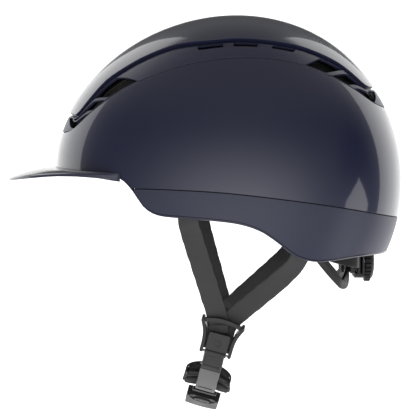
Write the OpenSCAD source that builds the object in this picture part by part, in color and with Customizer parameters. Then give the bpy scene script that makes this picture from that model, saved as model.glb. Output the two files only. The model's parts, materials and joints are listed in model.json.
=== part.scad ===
// Riding helmet: shells, vents, foam liner, pads, dial fit system, webbing and buckle.
// Front is -X, the wearer's left is -Y and up is +Z. The origin is the middle of the head
// opening at brow height.

/* [Shell] */
// Half of the shell's length, front to back
half_length = 137.4; // [132:0.2:142]
// Half of the shell's width
half_width = 107; // [104:0.5:110]
// Height of the crown above the widest line
crown_height = 127.4; // [122:0.2:132]
// Thickness of the outer shells
shell_wall = 2.4; // [1.8:0.1:2.6]
// How far the crown panel stands proud of the shell
panel_proud = 0.6; // [0.2:0.1:1.5]
// Depth of the vent channel's floor below the shell
channel_depth = 4; // [3:0.2:4.4]
// How far the visor's tip reaches in front of the origin
visor_reach = 175; // [165:1:185]

/* [Liner] */
// Foam thickness at the front and rear
foam_ends = 33.2; // [30:0.2:36]
// Foam thickness at the sides
foam_sides = 24.2; // [22:0.2:27]
// Foam thickness at the crown
foam_crown = 24.2; // [22:0.2:28]
// Thickness of the comfort pads
pad_wall = 6; // [4:0.5:7]

/* [Webbing] */
// Width of the helmet straps
strap_width = 15; // [14:0.5:16]
// Thickness of the webbing
strap_wall = 1.5; // [1.2:0.1:1.6]
// Angle of the strap loop, down and forward from vertical
strap_tilt = 15; // [12:1:18]

/* [Fit dial] */
// Outer radius of the dial
dial_r = 18.2; // [16:0.2:19]
// Number of grooves in the dial's grip ring
grip_grooves = 30; // [20:1:36]
// Gear module of the pinion and racks
gear_module = 1; // [0.9:0.05:1]

/* [Hidden] */

navy = [0.13, 0.14, 0.2];
satin_navy = [0.17, 0.18, 0.25];
black = [0.1, 0.1, 0.11];
charcoal = [0.26, 0.26, 0.26];
grey = [0.4, 0.4, 0.41];
foam = [0.16, 0.16, 0.17];
steel = [0.7, 0.7, 0.72];

// The shell's form: centre, egg shape, droop towards the rear and squareness of its plan
shell_x = 6;
egg = 6.15;
shell_z = 11;
droop = 4;
squareness = 0.015;
gap = 0.3;
step = 5;
ring = concat([for (phi = [-180:step:-135]) phi], [for (phi = [-130:2:-104]) phi],
    [for (phi = [-100:step:100]) phi], [for (phi = [104:2:130]) phi], [for (phi = [135:step:175]) phi]);

// Side-view height of the lower rim and of the seam between the shells: [x, z]
rim_line = [[-150, 11], [-92, 11.5], [-80, 10.8], [-74, 6.8], [-68, 0], [-62, -9], [-56, -14.2],
    [-48, -17.1], [-30, -18.7], [0, -21.3], [14, -23.9], [26, -28.5], [36, -35.2], [46, -43.3],
    [54, -48.3], [64, -51.2], [76, -51.3], [100, -48.8], [125, -48.5], [150, -48.5]];
seam_line = [[-150, 1.5], [-69, 1.5], [-40, 0.9], [0, -1.4], [45, -6.6], [85, -12.6],
    [120, -19.4], [150, -25.5]];
// Cosine of the elevation at the vent channel's outer edge and at the crown panel's edge
channel_line = [[0, 0.9], [28, 0.889], [42, 0.833], [55, 0.772], [68, 0.729], [84, 0.713],
    [101, 0.732], [115, 0.774], [130, 0.85], [143, 0.925], [150, 0.957], [158, 0.968], [180, 0.967]];
panel_line = [[0, 0.82], [20, 0.832], [28, 0.826], [32, 0.79], [37, 0.738], [46, 0.678],
    [55, 0.633], [66, 0.601], [78, 0.582], [90, 0.575], [104, 0.594], [113, 0.606], [122, 0.63],
    [133, 0.702], [140, 0.767], [146, 0.826], [149, 0.885], [153, 0.93], [160, 0.931], [180, 0.926]];

// Vent openings between the two lines: [first azimuth, last azimuth]
front_windows = [[126.5, 136.4], [137.8, 142.6], [144.2, 152]];
rear_windows = [[28, 39.6], [42, 49.6], [51.8, 60.4]];
slots = [[69, 77], [82, 90.5], [94, 102.5]];
window_rows = [0.08, 0.46];
slot_rows = [0.72, 0.84];
window_slant = 19;

function mix(a, b, u) = a + (b - a) * u;
function clamp(u) = min(max(u, 0), 1);

// Smooth curve through a table of [key, value] rows
function seek(table, x, i = 0) = i >= len(table) - 2 || x < table[i + 1][0] ? i
    : seek(table, x, i + 1);
function slope(table, i) =
    let (a = table[max(i - 1, 0)], b = table[min(i + 1, len(table) - 1)])
    (b[1] - a[1]) / (b[0] - a[0]);
function curve(table, x) =
    let (i = seek(table, x), a = table[i], b = table[i + 1], d = b[0] - a[0],
        u = clamp((x - a[0]) / d))
    a[1] * (2 * u ^ 3 - 3 * u ^ 2 + 1) + b[1] * (3 * u ^ 2 - 2 * u ^ 3)
    + slope(table, i) * d * (u ^ 3 - 2 * u ^ 2 + u) + slope(table, i + 1) * d * (u ^ 3 - u ^ 2);

// A point of the helmet at an azimuth and an elevation, moved inwards by t
function form(phi, psi, t = 0) =
    let (off = is_list(t) ? t : [t, t, t], h = cos(psi),
        k = 1 + squareness * (1 - cos(4 * phi)) * h * h, x = h * k * cos(phi), y = h * k * sin(phi))
    [shell_x + (half_length - off.x - egg * x) * x, (half_width - off.y) * y,
        shell_z - droop * x + (crown_height - off.z + droop * x) * sin(psi)];

// The elevation at which the form crosses the highest of some side-view lines
function lines_z(lines, x) = max([for (line = lines) curve(line, x)]);
function psi_on(phi, lines, low = -45, high = 50, n = 18) =
    let (middle = (low + high) / 2, p = form(phi, middle))
    n == 0 ? middle
    : p.z < lines_z(lines, p.x) ? psi_on(phi, lines, middle, high, n - 1)
    : psi_on(phi, lines, low, middle, n - 1);

// The same point by zone: w is 0 to 1 from a foot elevation to the vent channel, 1 to 2 over
// the channel, and 2 to 3 over the crown panel
function turned(phi, w) = phi - window_slant * sin(2 * phi) * clamp(w - 1);
function channel_psi(phi) = acos(curve(channel_line, abs(phi)));
function panel_psi(phi) = acos(curve(panel_line, abs(phi)));
function zone_psi(phi, w, foot) =
    w < 1 ? mix(foot, channel_psi(phi), w)
    : w < 2 ? mix(channel_psi(phi), panel_psi(phi), w - 1)
    : mix(panel_psi(phi), 90, w - 2);
function spot(phi, w, t = 0, foot = 0) = form(turned(phi, w), zone_psi(turned(phi, w), w, foot), t);

// A closed solid between an outer and an inner grid of points. keep(row, column) says which
// cells exist, wrap joins the last column to the first, and poles closes the top
module skin(outer, inner, wrap = false, keep = function(r, c) true, poles = []) {
    rows = len(outer);
    cols = len(outer[0]);
    n = rows * cols;
    cells = wrap ? cols : cols - 1;
    at = function(r, c) r * cols + c % cols;
    capped = len(poles) == 2;
    kept = function(r, c) r >= 0 && r < rows - 1 && (wrap || (c >= 0 && c < cells))
        && keep(r, (c + cells) % cells);
    wall = function(p, q) [[p, q, q + n], [p, q + n, p + n]];
    faces = [for (r = [0:rows - 2], c = [0:cells - 1]) if (keep(r, c))
        let (a = at(r, c), b = at(r, c + 1), d = at(r + 1, c), e = at(r + 1, c + 1))
        each concat([[a, d, e], [a, e, b], [a + n, e + n, d + n], [a + n, b + n, e + n]],
            kept(r - 1, c) ? [] : wall(a, b),
            kept(r, c + 1) ? [] : wall(b, e),
            kept(r + 1, c) || (capped && r == rows - 2) ? [] : wall(e, d),
            kept(r, c - 1) ? [] : wall(d, a))];
    fan = !capped ? [] : [for (c = [0:cells - 1])
        let (a = at(rows - 1, c), b = at(rows - 1, c + 1))
        each [[a, 2 * n, b], [a + n, b + n, 2 * n + 1]]];
    polyhedron(points = concat([for (row = outer) each row], [for (row = inner) each row], poles),
        faces = concat(faces, fan));
}

// A flat strip along stations of [centre, direction across]
module ribbon(stations, width, wall) {
    last = len(stations) - 1;
    along = function(i) let (d = stations[min(i + 1, last)][0] - stations[max(i - 1, 0)][0]) d / norm(d);
    side = function(i) let (s = stations[i][1], t = along(i), p = s - (s * t) * t) p / norm(p);
    corner = function(i, u, v) stations[i][0] + u * width / 2 * side(i)
        + v * wall / 2 * cross(along(i), side(i));
    sheet = function(v) [for (u = [-1, 1]) [for (i = [0:last]) corner(i, u, v)]];
    skin(sheet(1), sheet(-1));
}

// Places children at a point of the form with +Z outwards and +X along the azimuth
module on_form(phi, psi, t) {
    p = form(phi, psi, t);
    side = form(phi + 1, psi, t) - form(phi - 1, psi, t);
    rise = form(phi, psi + 1, t) - form(phi, psi - 1, t);
    x = side / norm(side);
    z = cross(side, rise) / norm(cross(side, rise));
    y = cross(z, x);
    multmatrix([[x.x, y.x, z.x, p.x], [x.y, y.y, z.y, p.y], [x.z, y.z, z.z, p.z]]) children();
}

module both_sides(side) {
    if (side == "right") mirror([0, 1, 0]) children();
    else children();
}

// ---------------------------------------------------------------- shells

trim_height = 1.8;

module upper_shell() {
    rows = [0, 0.12, 0.35, 0.6, 0.82, 0.985];
    foot = [for (phi = ring) psi_on(phi, [rim_line, seam_line]) + 0.9];
    grid = function(t) [for (w = rows) [for (i = [0:len(ring) - 1]) spot(ring[i], w, t, foot[i])]];
    color(navy) skin(grid(0), grid(shell_wall), wrap = true);
}

lower_end = 121;

module lower_shell() {
    cols = concat([for (phi = [-lower_end:2:-102]) phi], [for (phi = [-98:4:98]) phi],
        [for (phi = [102:2:lower_end]) phi]);
    rows = [0, 0.3, 0.65, 1];
    low = [for (phi = cols) psi_on(phi, [rim_line]) + 1];
    high = [for (phi = cols) psi_on(phi, [seam_line]) + 0.55];
    grid = function(t) [for (u = rows) [for (i = [0:len(cols) - 1])
        form(cols[i], mix(low[i], high[i], u), t)]];
    color(satin_navy) skin(grid(0), grid(shell_wall));
}

module rim_trim() {
    low = [for (phi = ring) psi_on(phi, [rim_line])];
    grid = function(offs) [for (row = offs) [for (i = [0:len(ring) - 1])
        form(ring[i], low[i] + row[0], row[1])]];
    color(charcoal) skin(grid([[0, 0.6], [0.3, 0], [0.75, 0.2]]),
        grid([[0, 2], [0.3, 2.6], [0.75, 2.4]]), wrap = true);
}

vent_cols = let (half = concat([0, 9, 18], [28, 34], [39.6, 42, 49.6, 51.8, 56, 60.4], [64],
        [69, 73, 77, 82, 86, 90.5, 94, 98, 102.5], [108, 114, 120], [126.5, 131.5, 136.4, 137.8,
        142.6, 144.2, 148, 152], [158, 165, 172]))
    concat([-180], [for (i = [len(half) - 1:-1:1]) -half[i]], half);
vent_rows = [0.01, 0.08, 0.46, 0.72, 0.84, 1.08];
floor_wall = 1.8;
mesh_wall = 0.5;
vent_depth = [0.2, 2.6, 3.4, channel_depth, channel_depth, channel_depth];

function within(phi, spans) = len([for (s = spans) if (abs(phi) > s[0] && abs(phi) < s[1]) 1]) > 0;
function vent_kept(phi, row) =
    !(row == 1 && within(phi, concat(front_windows, rear_windows)))
    && !(row == 3 && within(phi, slots));

module vent_frame() {
    mid = function(c) (vent_cols[c] + (c == len(vent_cols) - 1 ? 180 : vent_cols[c + 1])) / 2;
    grid = function(extra) [for (r = [0:len(vent_rows) - 1]) [for (phi = vent_cols)
        spot(phi, 1 + vent_rows[r], vent_depth[r] + extra)]];
    color(navy) skin(grid(0), grid(floor_wall), wrap = true,
        keep = function(r, c) vent_kept(mid(c), r));
}

module crown_panel() {
    rows = [0, 0.06, 0.3, 0.55, 0.8];
    inner_t = [3.2, 3.2, 2, 2, 2];
    inner_rows = [0.015, 0.045, 0.3, 0.55, 0.8];
    cols = vent_cols;
    outer = [for (w = rows) [for (phi = cols) spot(phi, 2 + w, -panel_proud)]];
    inner = [for (r = [0:4]) [for (phi = cols) spot(phi, 2 + inner_rows[r], inner_t[r])]];
    color(navy) skin(outer, inner, wrap = true,
        poles = [form(0, 90, -panel_proud), form(0, 90, 2)]);
}

module insect_mesh(side) {
    cols = [for (phi = [121:4:157]) -phi];
    grid = function(t) [for (w = [1.0, 1.25, 1.5]) [for (i = [len(cols) - 1:-1:0])
        spot(cols[i], w, t)]];
    mesh_depth = channel_depth + floor_wall + gap;
    color(black) both_sides(side) skin(grid(mesh_depth), grid(mesh_depth + mesh_wall));
}

// The visor runs from the brow to a plan edge that is half an ellipse
visor_x = -78;
visor_half = 89;

// Height of the visor's edge, by the angle round from its tip
visor_edge = [[0, 8.3], [30, 9.9], [50, 12], [65, 13], [78, 12.2], [90, 10.9]];

module visor() {
    turns = [for (a = [-90:7.5:90]) a];
    depths = [0, 0.25, 0.5, 0.75, 1];
    root = function(a) let (phi = 180 - a * 54.6 / 90,
            z = mix(17.4, 12, (1 - cos(a)) ^ 1.2), psi = asin((z - shell_z - droop) / crown_height))
        form(phi, psi, -0.5);
    edge = function(a) [visor_x - 2 - (visor_reach + visor_x - 2) * cos(a), visor_half * sin(a),
        curve(visor_edge, abs(a))];
    arch = function(u) 1.6 * sin(180 * u);
    grid = function(up) [for (u = depths) [for (a = turns)
        mix(root(a), edge(a), u) + [0, 0, arch(u) + up * mix(1.7, 1.1, u)]]];
    color(satin_navy) skin(grid(-1), grid(1));
}

// ---------------------------------------------------------------- liner and pads

foam_out = shell_wall + 0.8;
foam_deep = channel_depth + floor_wall + mesh_wall + 1.3;
foam_in = [foam_out + foam_ends, foam_out + foam_sides, foam_out + foam_crown + 3.8];
strap_bays = [[57, 73], [97, 113]];
bay_depth = 7.5;
notch = [40, 60];
// Room for the hook fasteners between the foam and the pads
pad_gap = 2.6;

module foam_liner() {
    band_rows = [0, 0.3, 0.5, 0.75, 0.96];
    floor_rows = [1.0, 1.08, 1.46, 1.72, 2, 2.15, 2.3, 2.45, 2.6, 2.75, 2.88];
    rows = concat(band_rows, floor_rows);
    cols = vent_cols;
    notch_psi = -20;
    foot = [for (phi = cols) let (rim = psi_on(phi, [rim_line]) + 2,
        u = clamp((notch[1] - abs(phi)) / (notch[1] - notch[0]))) mix(rim, max(rim, notch_psi), u)];
    depth = function(phi, w) w >= 1 ? foam_deep
        : w < 0.6 && within(phi, strap_bays) ? bay_depth : foam_out;
    grid_out = [for (w = rows) [for (i = [0:len(cols) - 1])
        spot(cols[i], w, depth(cols[i], w), foot[i])]];
    grid_in = [for (w = rows) [for (i = [0:len(cols) - 1]) spot(cols[i], w, foam_in, foot[i])]];
    mid = function(c) (cols[c] + (c == len(cols) - 1 ? 180 : cols[c + 1])) / 2;
    window_row = len(band_rows) + 1;
    color(foam) skin(grid_out, grid_in, wrap = true,
        keep = function(r, c) !(r == window_row && within(mid(c), concat(front_windows, rear_windows))),
        poles = [form(0, 90, foam_deep), form(0, 90, foam_in)]);
}

// A pad on the foam's inner face between two azimuths and two elevations
module liner_pad(cols, rows, wall = pad_wall) {
    outer = foam_in + [1, 1, 1] * pad_gap;
    edge = function(i, last) (i == 0 || i == last) ? 0.45 : 1;
    grid = function(t) [for (psi = rows) [for (phi = cols) form(phi, psi, t)]];
    thick = [for (r = [0:len(rows) - 1]) [for (c = [0:len(cols) - 1])
        form(cols[c], rows[r], outer + [1, 1, 1] * wall * edge(r, len(rows) - 1)
            * edge(c, len(cols) - 1))]];
    color(charcoal) skin(grid(outer), thick);
}

module brow_pad() {
    liner_pad([for (phi = [128:8:232]) phi], [3, 6, 13, 20, 23]);
}

module side_pad(side) {
    both_sides(side) liner_pad([for (phi = [-112:6:-70]) phi], [2, 5, 14, 23, 26]);
}

module crown_pad() {
    cols = [for (phi = [0:10:350]) phi];
    rows = [52, 56, 68, 80];
    outer = foam_in + [1, 1, 1] * pad_gap;
    thick = [0.45, 1, 1, 1];
    grid_out = [for (psi = rows) [for (phi = cols) form(phi, psi, outer)]];
    grid_in = [for (r = [0:3]) [for (phi = cols)
        form(phi, rows[r], outer + [1, 1, 1] * pad_wall * thick[r])]];
    color(charcoal) skin(grid_out, grid_in, wrap = true,
        poles = [form(0, 90, outer), form(0, 90, outer + [1, 1, 1] * pad_wall)]);
}

fastener_spots = [[150, 12], [180, 12], [-150, 12], [-92, 14], [92, 14],
    [40, 62], [140, 62], [-40, 62], [-140, 62]];

module pad_fasteners() {
    color(black) for (f = fastener_spots) on_form(f[0], f[1], foam_in + [1, 1, 1] * 1.8)
        cylinder(h = 0.7, r = 6, center = true, $fn = 32);
}

// ---------------------------------------------------------------- fit system

dial_z = -54.4;
dial_front = 107.9;
dial_back = 115.6;
housing_x = [99.5, 107];
cover_x = [96.1, 99.2];
housing_half = 22;
housing_top = -41;
housing_low = -68.8;
pinion_teeth = 12;
pitch_r = gear_module * pinion_teeth / 2;
gear_x = [101.2, 104.9];
shaft_r = 4;
fit = 0.05;
rack_half = 9.6;
rack_wall = 1.6;
rack_travel = 12;

// Turns children so that their +Z runs along +X at the dial's axis
module dial_axis(x) {
    translate([x, 0, dial_z]) rotate([0, 90, 0]) children();
}

// The cradle is a flat moulding: stations of [x, y, z] on the left half
cradle_low = [[67, -61, -46], [71, -57, -51.5], [79, -49, -61.5], [86, -41, -69.5], [90.5, -32, -73.2],
    [93, -23, -70.5], [94, -14, -64.5]];
cradle_top = [[90.5, -31, -70.5], [93.2, -24, -61.5], [94, -18, -54]];

module disc_at(p, r = 3.2, wall = 2.4) {
    azimuth = atan2(p.y, p.x - 20);
    translate(p) rotate([0, 0, azimuth]) rotate([0, 90, 0])
        cylinder(h = wall, r = r, center = true, $fn = 16);
}

module chain(points, r = 3.2) {
    for (i = [0:len(points) - 2]) hull() {
        disc_at(points[i], r);
        disc_at(points[i + 1], r);
    }
}

module cradle() {
    color(black) union() {
        for (side = [0, 1]) mirror([0, side, 0]) {
            chain(cradle_low);
            chain(cradle_top);
        }
        translate([93, -19, -68]) cube([2, 38, 25]);
    }
}

arm_route = [[-52, -61.5, -1], [-25, -71, -5], [0, -73.5, -10], [22, -70.5, -18], [40, -63.5, -28],
    [54, -54.5, -37.5], [67, -49.5, -44.5], [80, -44, -49.5], [92, -38.5, -53], [102, -32.8, -54.4]];

module arm(side) {
    color(black) both_sides(side) ribbon([for (p = arm_route) [p, [0.2, 0, -1]]], 9, 1.8);
}

module arm_anchors() {
    color(black) for (side = [0, 1]) mirror([0, side, 0])
        translate([-44.8, -61.6, -2]) rotate([90, 0, -20]) cylinder(h = 1.6, r = 4, center = true);
}

// Straight-sided gear tooth, from its root to its tip, pointing along +Y
module tooth_2d() {
    m = gear_module;
    polygon([[-0.95 * m, -1.3 * m], [0.95 * m, -1.3 * m], [0.58 * m, 0], [0.3 * m, 0.8 * m],
        [-0.3 * m, 0.8 * m], [-0.58 * m, 0]]);
}

// Each rack is a slotted plate with teeth along one edge of its slot. The left rack meshes above
// the pinion and the right one below it, one layer behind the other
module rack(side) {
    pitch = PI * gear_module;
    slot_half = pitch_r + 1.3 * gear_module;
    layer = side == "left" ? gear_x[0] : gear_x[0] + rack_wall + 0.4;
    color(black) translate([layer, 0, dial_z]) mirror([0, side == "left" ? 0 : 1, 0])
        rotate([90, 0, 90]) linear_extrude(rack_wall) mirror([0, side == "left" ? 0 : 1]) {
            difference() {
                translate([-31, -rack_half]) square([42, 2 * rack_half]);
                translate([-rack_travel - 7.6, -slot_half])
                    square([rack_travel + 15.2, 2 * slot_half]);
            }
            for (i = [-6:1]) translate([(i + 0.5) * pitch, pitch_r]) rotate(180) tooth_2d();
        }
}

module dial_housing() {
    mid = (housing_top + housing_low) / 2;
    tall = housing_top - housing_low;
    color(black) difference() {
        union() {
            translate([housing_x[0], -housing_half, housing_low + 8])
                cube([housing_x[1] - housing_x[0], 2 * housing_half, tall - 8]);
            translate([housing_x[0], -housing_half + 8, housing_low])
                cube([housing_x[1] - housing_x[0], 2 * housing_half - 16, tall]);
            for (y = [-1, 1]) translate([housing_x[0], y * (housing_half - 8), housing_low + 8])
                rotate([0, 90, 0]) cylinder(h = housing_x[1] - housing_x[0], r = 8);
        }
        translate([housing_x[0] - 1, -housing_half - 1, dial_z - 10.2])
            cube([1 + 105.3 - housing_x[0], 2 * housing_half + 2, 20.4]);
        dial_axis(housing_x[0]) cylinder(h = 20, r = shaft_r + fit, $fn = 48);
    }
}

module housing_cover() {
    color(black) difference() {
        translate([cover_x[0], -housing_half, housing_low + 4])
            cube([cover_x[1] - cover_x[0], 2 * housing_half, housing_top - housing_low - 4]);
        for (z = [-62, -58, -50, -46]) translate([cover_x[0] - 1, -8, z])
            cube([1.8, 16, 1.6]);
    }
}

module pinion() {
    color(grey) difference() {
        union() {
            dial_axis(gear_x[0]) linear_extrude(gear_x[1] - gear_x[0]) {
                circle(r = pitch_r - 1.1 * gear_module, $fn = 48);
                for (i = [0:pinion_teeth - 1]) rotate(i * 360 / pinion_teeth)
                    translate([pitch_r, 0]) rotate(-90) tooth_2d();
            }
            dial_axis(gear_x[0]) cylinder(h = 110.4 - gear_x[0], r = shaft_r, $fn = 48);
        }
        dial_axis(104) cylinder(h = 20, r = 1.55, $fn = 32);
    }
}

module dial_knob() {
    color(black) difference() {
        translate([0, 0, dial_z]) rotate([0, 90, 0]) rotate_extrude($fn = 96)
            polygon([[0, dial_front + 2.6], [7, dial_front + 2.6], [7, dial_front], [dial_r - 2, dial_front],
                [dial_r - 2, 113.2], [dial_r - 3, 114.4], [dial_r - 6, 115.2], [6, dial_back],
                [0, dial_back]]);
        dial_axis(dial_front + 1) cylinder(h = 4, r = shaft_r + fit / 2, $fn = 48);
        dial_axis(dial_front) cylinder(h = 20, r = 1.6, $fn = 32);
        dial_axis(114) cylinder(h = 4, r = 3.2, $fn = 32);
    }
}

module grip_ring() {
    points = 4 * grip_grooves;
    color(black) dial_axis(dial_front) linear_extrude(4.6) difference() {
        polygon([for (i = [0:points - 1]) let (r = dial_r - (i % 4 < 2 ? 0 : 1.1))
            r * [cos(i * 360 / points), sin(i * 360 / points)]]);
        circle(r = dial_r - 1.95, $fn = 96);
    }
}

module dial_screw() {
    color(steel) {
        dial_axis(105.5) cylinder(h = 114.1 - 105.5, r = 1.5, $fn = 32);
        dial_axis(114.05) difference() {
            cylinder(h = 1.3, r = 3, $fn = 32);
            translate([-2.4, -0.4, 0.6]) cube([4.8, 0.8, 1]);
            translate([-0.4, -2.4, 0.6]) cube([0.8, 4.8, 1]);
        }
    }
}

module detent_spring() {
    color(steel) dial_axis(107.1) difference() {
        cylinder(h = 0.5, r = 13, $fn = 64);
        translate([0, 0, -1]) cylinder(h = 3, r = 9, $fn = 64);
    }
}

// ---------------------------------------------------------------- webbing

// The strap loop lies in a tilted plane: s runs down from its origin, w runs rearwards
loop_origin = [-0.3, 0, -90];
down = [-sin(strap_tilt), 0, -cos(strap_tilt)];
across = [cos(strap_tilt), 0, -sin(strap_tilt)];
// Left half of the loop: [s, y]
loop_line = [[0, -65], [20, -61], [36, -56.5], [55.2, -46.5], [68.2, -32], [76.7, -12]];

function loop_point(s, y, w = 0) = loop_origin + s * down + w * across + [0, y, 0];
function on_loop(s, off = 0) =
    let (d = 0.5, y = curve(loop_line, s), dy = (curve(loop_line, s + d) - curve(loop_line, s - d)) / (2 * d),
        n = [dy, -1] / norm([dy, -1]))
    loop_point(s + off * n[0], y + off * n[1]);

// Places children on the loop: +X down the strap, +Y rearwards, +Z away from the head
module loop_frame(s, y, lean) {
    p = loop_point(s, y);
    x = sin(lean) * [0, 1, 0] + cos(lean) * down;
    z = -cos(lean) * [0, 1, 0] + sin(lean) * down;
    multmatrix([[x.x, across.x, z.x, p.x], [x.y, across.y, z.y, p.y], [x.z, across.z, z.z, p.z]])
        children();
}

divider_s = 20.5;
divider_y = -60.8;
divider_lean = 14;
divider_reach = [-12, 12.2];
pin_height = 4.1;

// A point of the divider's frame in the helmet's frame
function divider_point(p) =
    let (x = sin(divider_lean) * [0, 1, 0] + cos(divider_lean) * down,
        z = -cos(divider_lean) * [0, 1, 0] + sin(divider_lean) * down)
    loop_point(divider_s, divider_y) + p.x * x + p.y * across + p.z * z;

strap_t = shell_wall + gap + 0.7 + strap_wall / 2;
front_phi = -104.4;
rear_phi = -66;

function shell_station(phi, psi) = [form(phi, psi, strap_t), form(phi + 1, psi, strap_t) - form(phi - 1, psi, strap_t)];

module strap_front(side) {
    top = [for (psi = [-1, -6, -11, -15]) shell_station(front_phi, psi)];
    free = [[divider_point([-16, -6.2, 0]), [0.95, 0, 0.25]], [divider_point([-9, -3.4, -0.1]), across],
        [divider_point([-2, -1.6, 0.0]), across]];
    bend = [[[-25.4, -92.4, -31], [0.95, 0, 0.28]]];
    color(charcoal) both_sides(side) ribbon(concat(top, bend, free), strap_width, strap_wall);
}

module strap_rear(side) {
    top = [for (psi = [-12, -17, -22, -26]) shell_station(rear_phi, psi)];
    free = [[divider_point([-17, 6.8, -2.9]), [0.66, 0.12, -0.6]],
        [divider_point([-9, 3.4, -2.15]), [0.85, 0.02, -0.4]], [divider_point([-2, 1.6, -1.8]), across]];
    bend = [[[45, -79.3, -60], [0.55, 0.35, -0.6]]];
    color(charcoal) both_sides(side) ribbon(concat(top, bend, free), strap_width, strap_wall);
}

anchor_spots = [[front_phi, 4.6], [rear_phi, -6.4]];
anchor_t = strap_t + 0.5;

module strap_anchors() {
    color(steel) for (side = [0, 1], a = anchor_spots) mirror([0, side, 0])
        on_form(a[0], a[1], anchor_t) difference() {
            cube([18, 9, 1.6], center = true);
            cylinder(h = 4, r = 2.55, center = true, $fn = 32);
        }
}

module anchor_rivets() {
    color(steel) for (side = [0, 1], a = anchor_spots) mirror([0, side, 0])
        on_form(a[0], a[1], anchor_t) {
            cylinder(h = 1.7, r = 2.5, center = true, $fn = 32);
            translate([0, 0, -1.9]) cylinder(h = 1.06, r = 4, $fn = 32);
        }
}

// Half plan of the divider's leg: [x, y]
leg_line = [[-12, 15.6], [-5, 12.6], [2, 11.3], [12.2, 11]];
leg_wall = 2.6;

module divider_frame(side) {
    color(black) both_sides(side) loop_frame(divider_s, divider_y, divider_lean) difference() {
        union() {
            for (m = [0, 1]) mirror([0, m, 0]) translate([0, 0, -3.6]) linear_extrude(9.2) {
                polygon(concat([for (p = leg_line) p - [0, leg_wall / 2]],
                    [for (i = [len(leg_line) - 1:-1:0]) leg_line[i] + [0, leg_wall / 2]]));
                for (p = [leg_line[0], leg_line[3]]) translate(p) circle(r = leg_wall / 2, $fn = 24);
            }
            translate([0, 0, 1.3]) linear_extrude(2.3) difference() {
                translate([26, 0]) circle(r = 41.4, $fn = 96);
                translate([26, 0]) circle(r = 38.8, $fn = 96);
                translate([-8, -50]) square([100, 100]);
                for (m = [0, 1]) mirror([0, m, 0]) translate([-30, 15.9]) square([60, 40]);
            }
            translate([-7, -10.5, -3.9]) cube([20, 21, 1.1]);
        }
        translate([divider_reach[1], 0, pin_height]) rotate([90, 0, 0])
            cylinder(h = 60, r = 1.05, center = true, $fn = 32);
    }
}

module divider_pin(side) {
    color(steel) both_sides(side) loop_frame(divider_s, divider_y, divider_lean)
        translate([divider_reach[1], 0, pin_height]) rotate([90, 0, 0])
            cylinder(h = 24, r = 1, center = true, $fn = 32);
}

module divider_flap(side) {
    flap_half = 8.3;
    color(charcoal) both_sides(side) loop_frame(divider_s, divider_y, divider_lean) difference() {
        union() {
            translate([-3.8, -flap_half, 2.9]) cube([16, 2 * flap_half, 1.9]);
            translate([divider_reach[1], 0, pin_height]) rotate([90, 0, 0])
                cylinder(h = 2 * flap_half, r = 1.85, center = true, $fn = 32);
        }
        translate([divider_reach[1], 0, pin_height]) rotate([90, 0, 0])
            cylinder(h = 40, r = 1.05, center = true, $fn = 32);
        translate([-5, -30, -3]) cube([30, 60, 5.6]);
        translate([4, 0, 4.3]) cylinder(h = 2, r = 2.6, $fn = 32);
    }
}

fold_end = 47.5;
chin_width = 16.5;

module strap_fold(side) {
    stations = [for (s = [23:4:fold_end]) s];
    ends = concat(stations, [fold_end]);
    color(charcoal) both_sides(side) {
        ribbon([for (s = ends) [on_loop(s, 1.55), across]], chin_width, 1.2);
        ribbon([for (s = ends) [on_loop(s, -1.55), across]], chin_width, 1.2);
    }
}

// The left strap ends at the tongue, and the right one runs on under the chin to the buckle
module chin_strap(side) {
    shared = [for (s = [25:4:65]) [on_loop(s), across]];
    tail = side == "left" ? [[on_loop(67.4), across]]
        : [for (p = [[69.2, -29.5], [73.6, -22], [77, -14.5], [79, -7.5], [79.7, -1.2]])
            [loop_point(p[0], p[1]), across]];
    color(grey) both_sides(side) ribbon(concat(shared, tail), chin_width - 0.5, strap_wall);
}

buckle_s = 76.7;
buckle_y = -12;
buckle_lean = 66;

module buckle_frame() {
    loop_frame(buckle_s, buckle_y, buckle_lean) children();
}

// Plan of the buckle: straight sides and a bowed far end
module buckle_plan(grow = 0) {
    half = 13.1 + grow;
    intersection() {
        translate([-12.5 - grow, -half]) square([25 + 2 * grow, 2 * half]);
        translate([-11.5, 0]) circle(r = 26 + grow, $fn = 96);
    }
}

function oval(a, b, n = 40) = [for (i = [0:n - 1]) [a * cos(i * 360 / n), b * sin(i * 360 / n)]];

tongue_half = 7.6;

module buckle_body() {
    color(black) difference() {
        buckle_frame() translate([0, 0, -3.6]) linear_extrude(5.2) buckle_plan();
        buckle_frame() translate([-14, -tongue_half - 0.4, -1.3]) cube([20, 2 * tongue_half + 0.8, 2.3]);
        buckle_frame() translate([-14, -4.4, -1.3]) cube([16, 8.8, 8]);
    }
}

module buckle_cover() {
    color(black) difference() {
        buckle_frame() translate([0, 0, 1.8]) linear_extrude(2.9) buckle_plan(-0.2);
        buckle_frame() translate([-13, 0, 3.5]) linear_extrude(5) polygon(oval(12.6, 11));
        buckle_frame() translate([-5.6, 0, 0]) linear_extrude(9) polygon(oval(4.4, 6.4));
    }
}

module buckle_button() {
    color(charcoal) buckle_frame() translate([-5.6, 0, 3.1]) {
        linear_extrude(1.6) polygon(oval(4.2, 6.2));
        translate([0, 0, 1.6]) linear_extrude(0.4) polygon(oval(3.4, 5.2));
    }
}

module button_spring() {
    color(steel) buckle_frame() for (y = [-5.3, 5.3]) translate([-5.6, y, 1.65]) difference() {
        cylinder(h = 1.4, r = 0.7, $fn = 32);
        translate([0, 0, -1]) cylinder(h = 5, r = 0.4, $fn = 32);
    }
}

module buckle_tongue() {
    color(steel) buckle_frame() difference() {
        union() {
            translate([-18, -tongue_half, -0.9]) cube([21, 2 * tongue_half, 1.5]);
            translate([-21.6, -9.6, -1.5]) cube([5, 19.2, 3]);
        }
        translate([-8, -3, -3]) cube([5, 6, 6]);
    }
}

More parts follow.
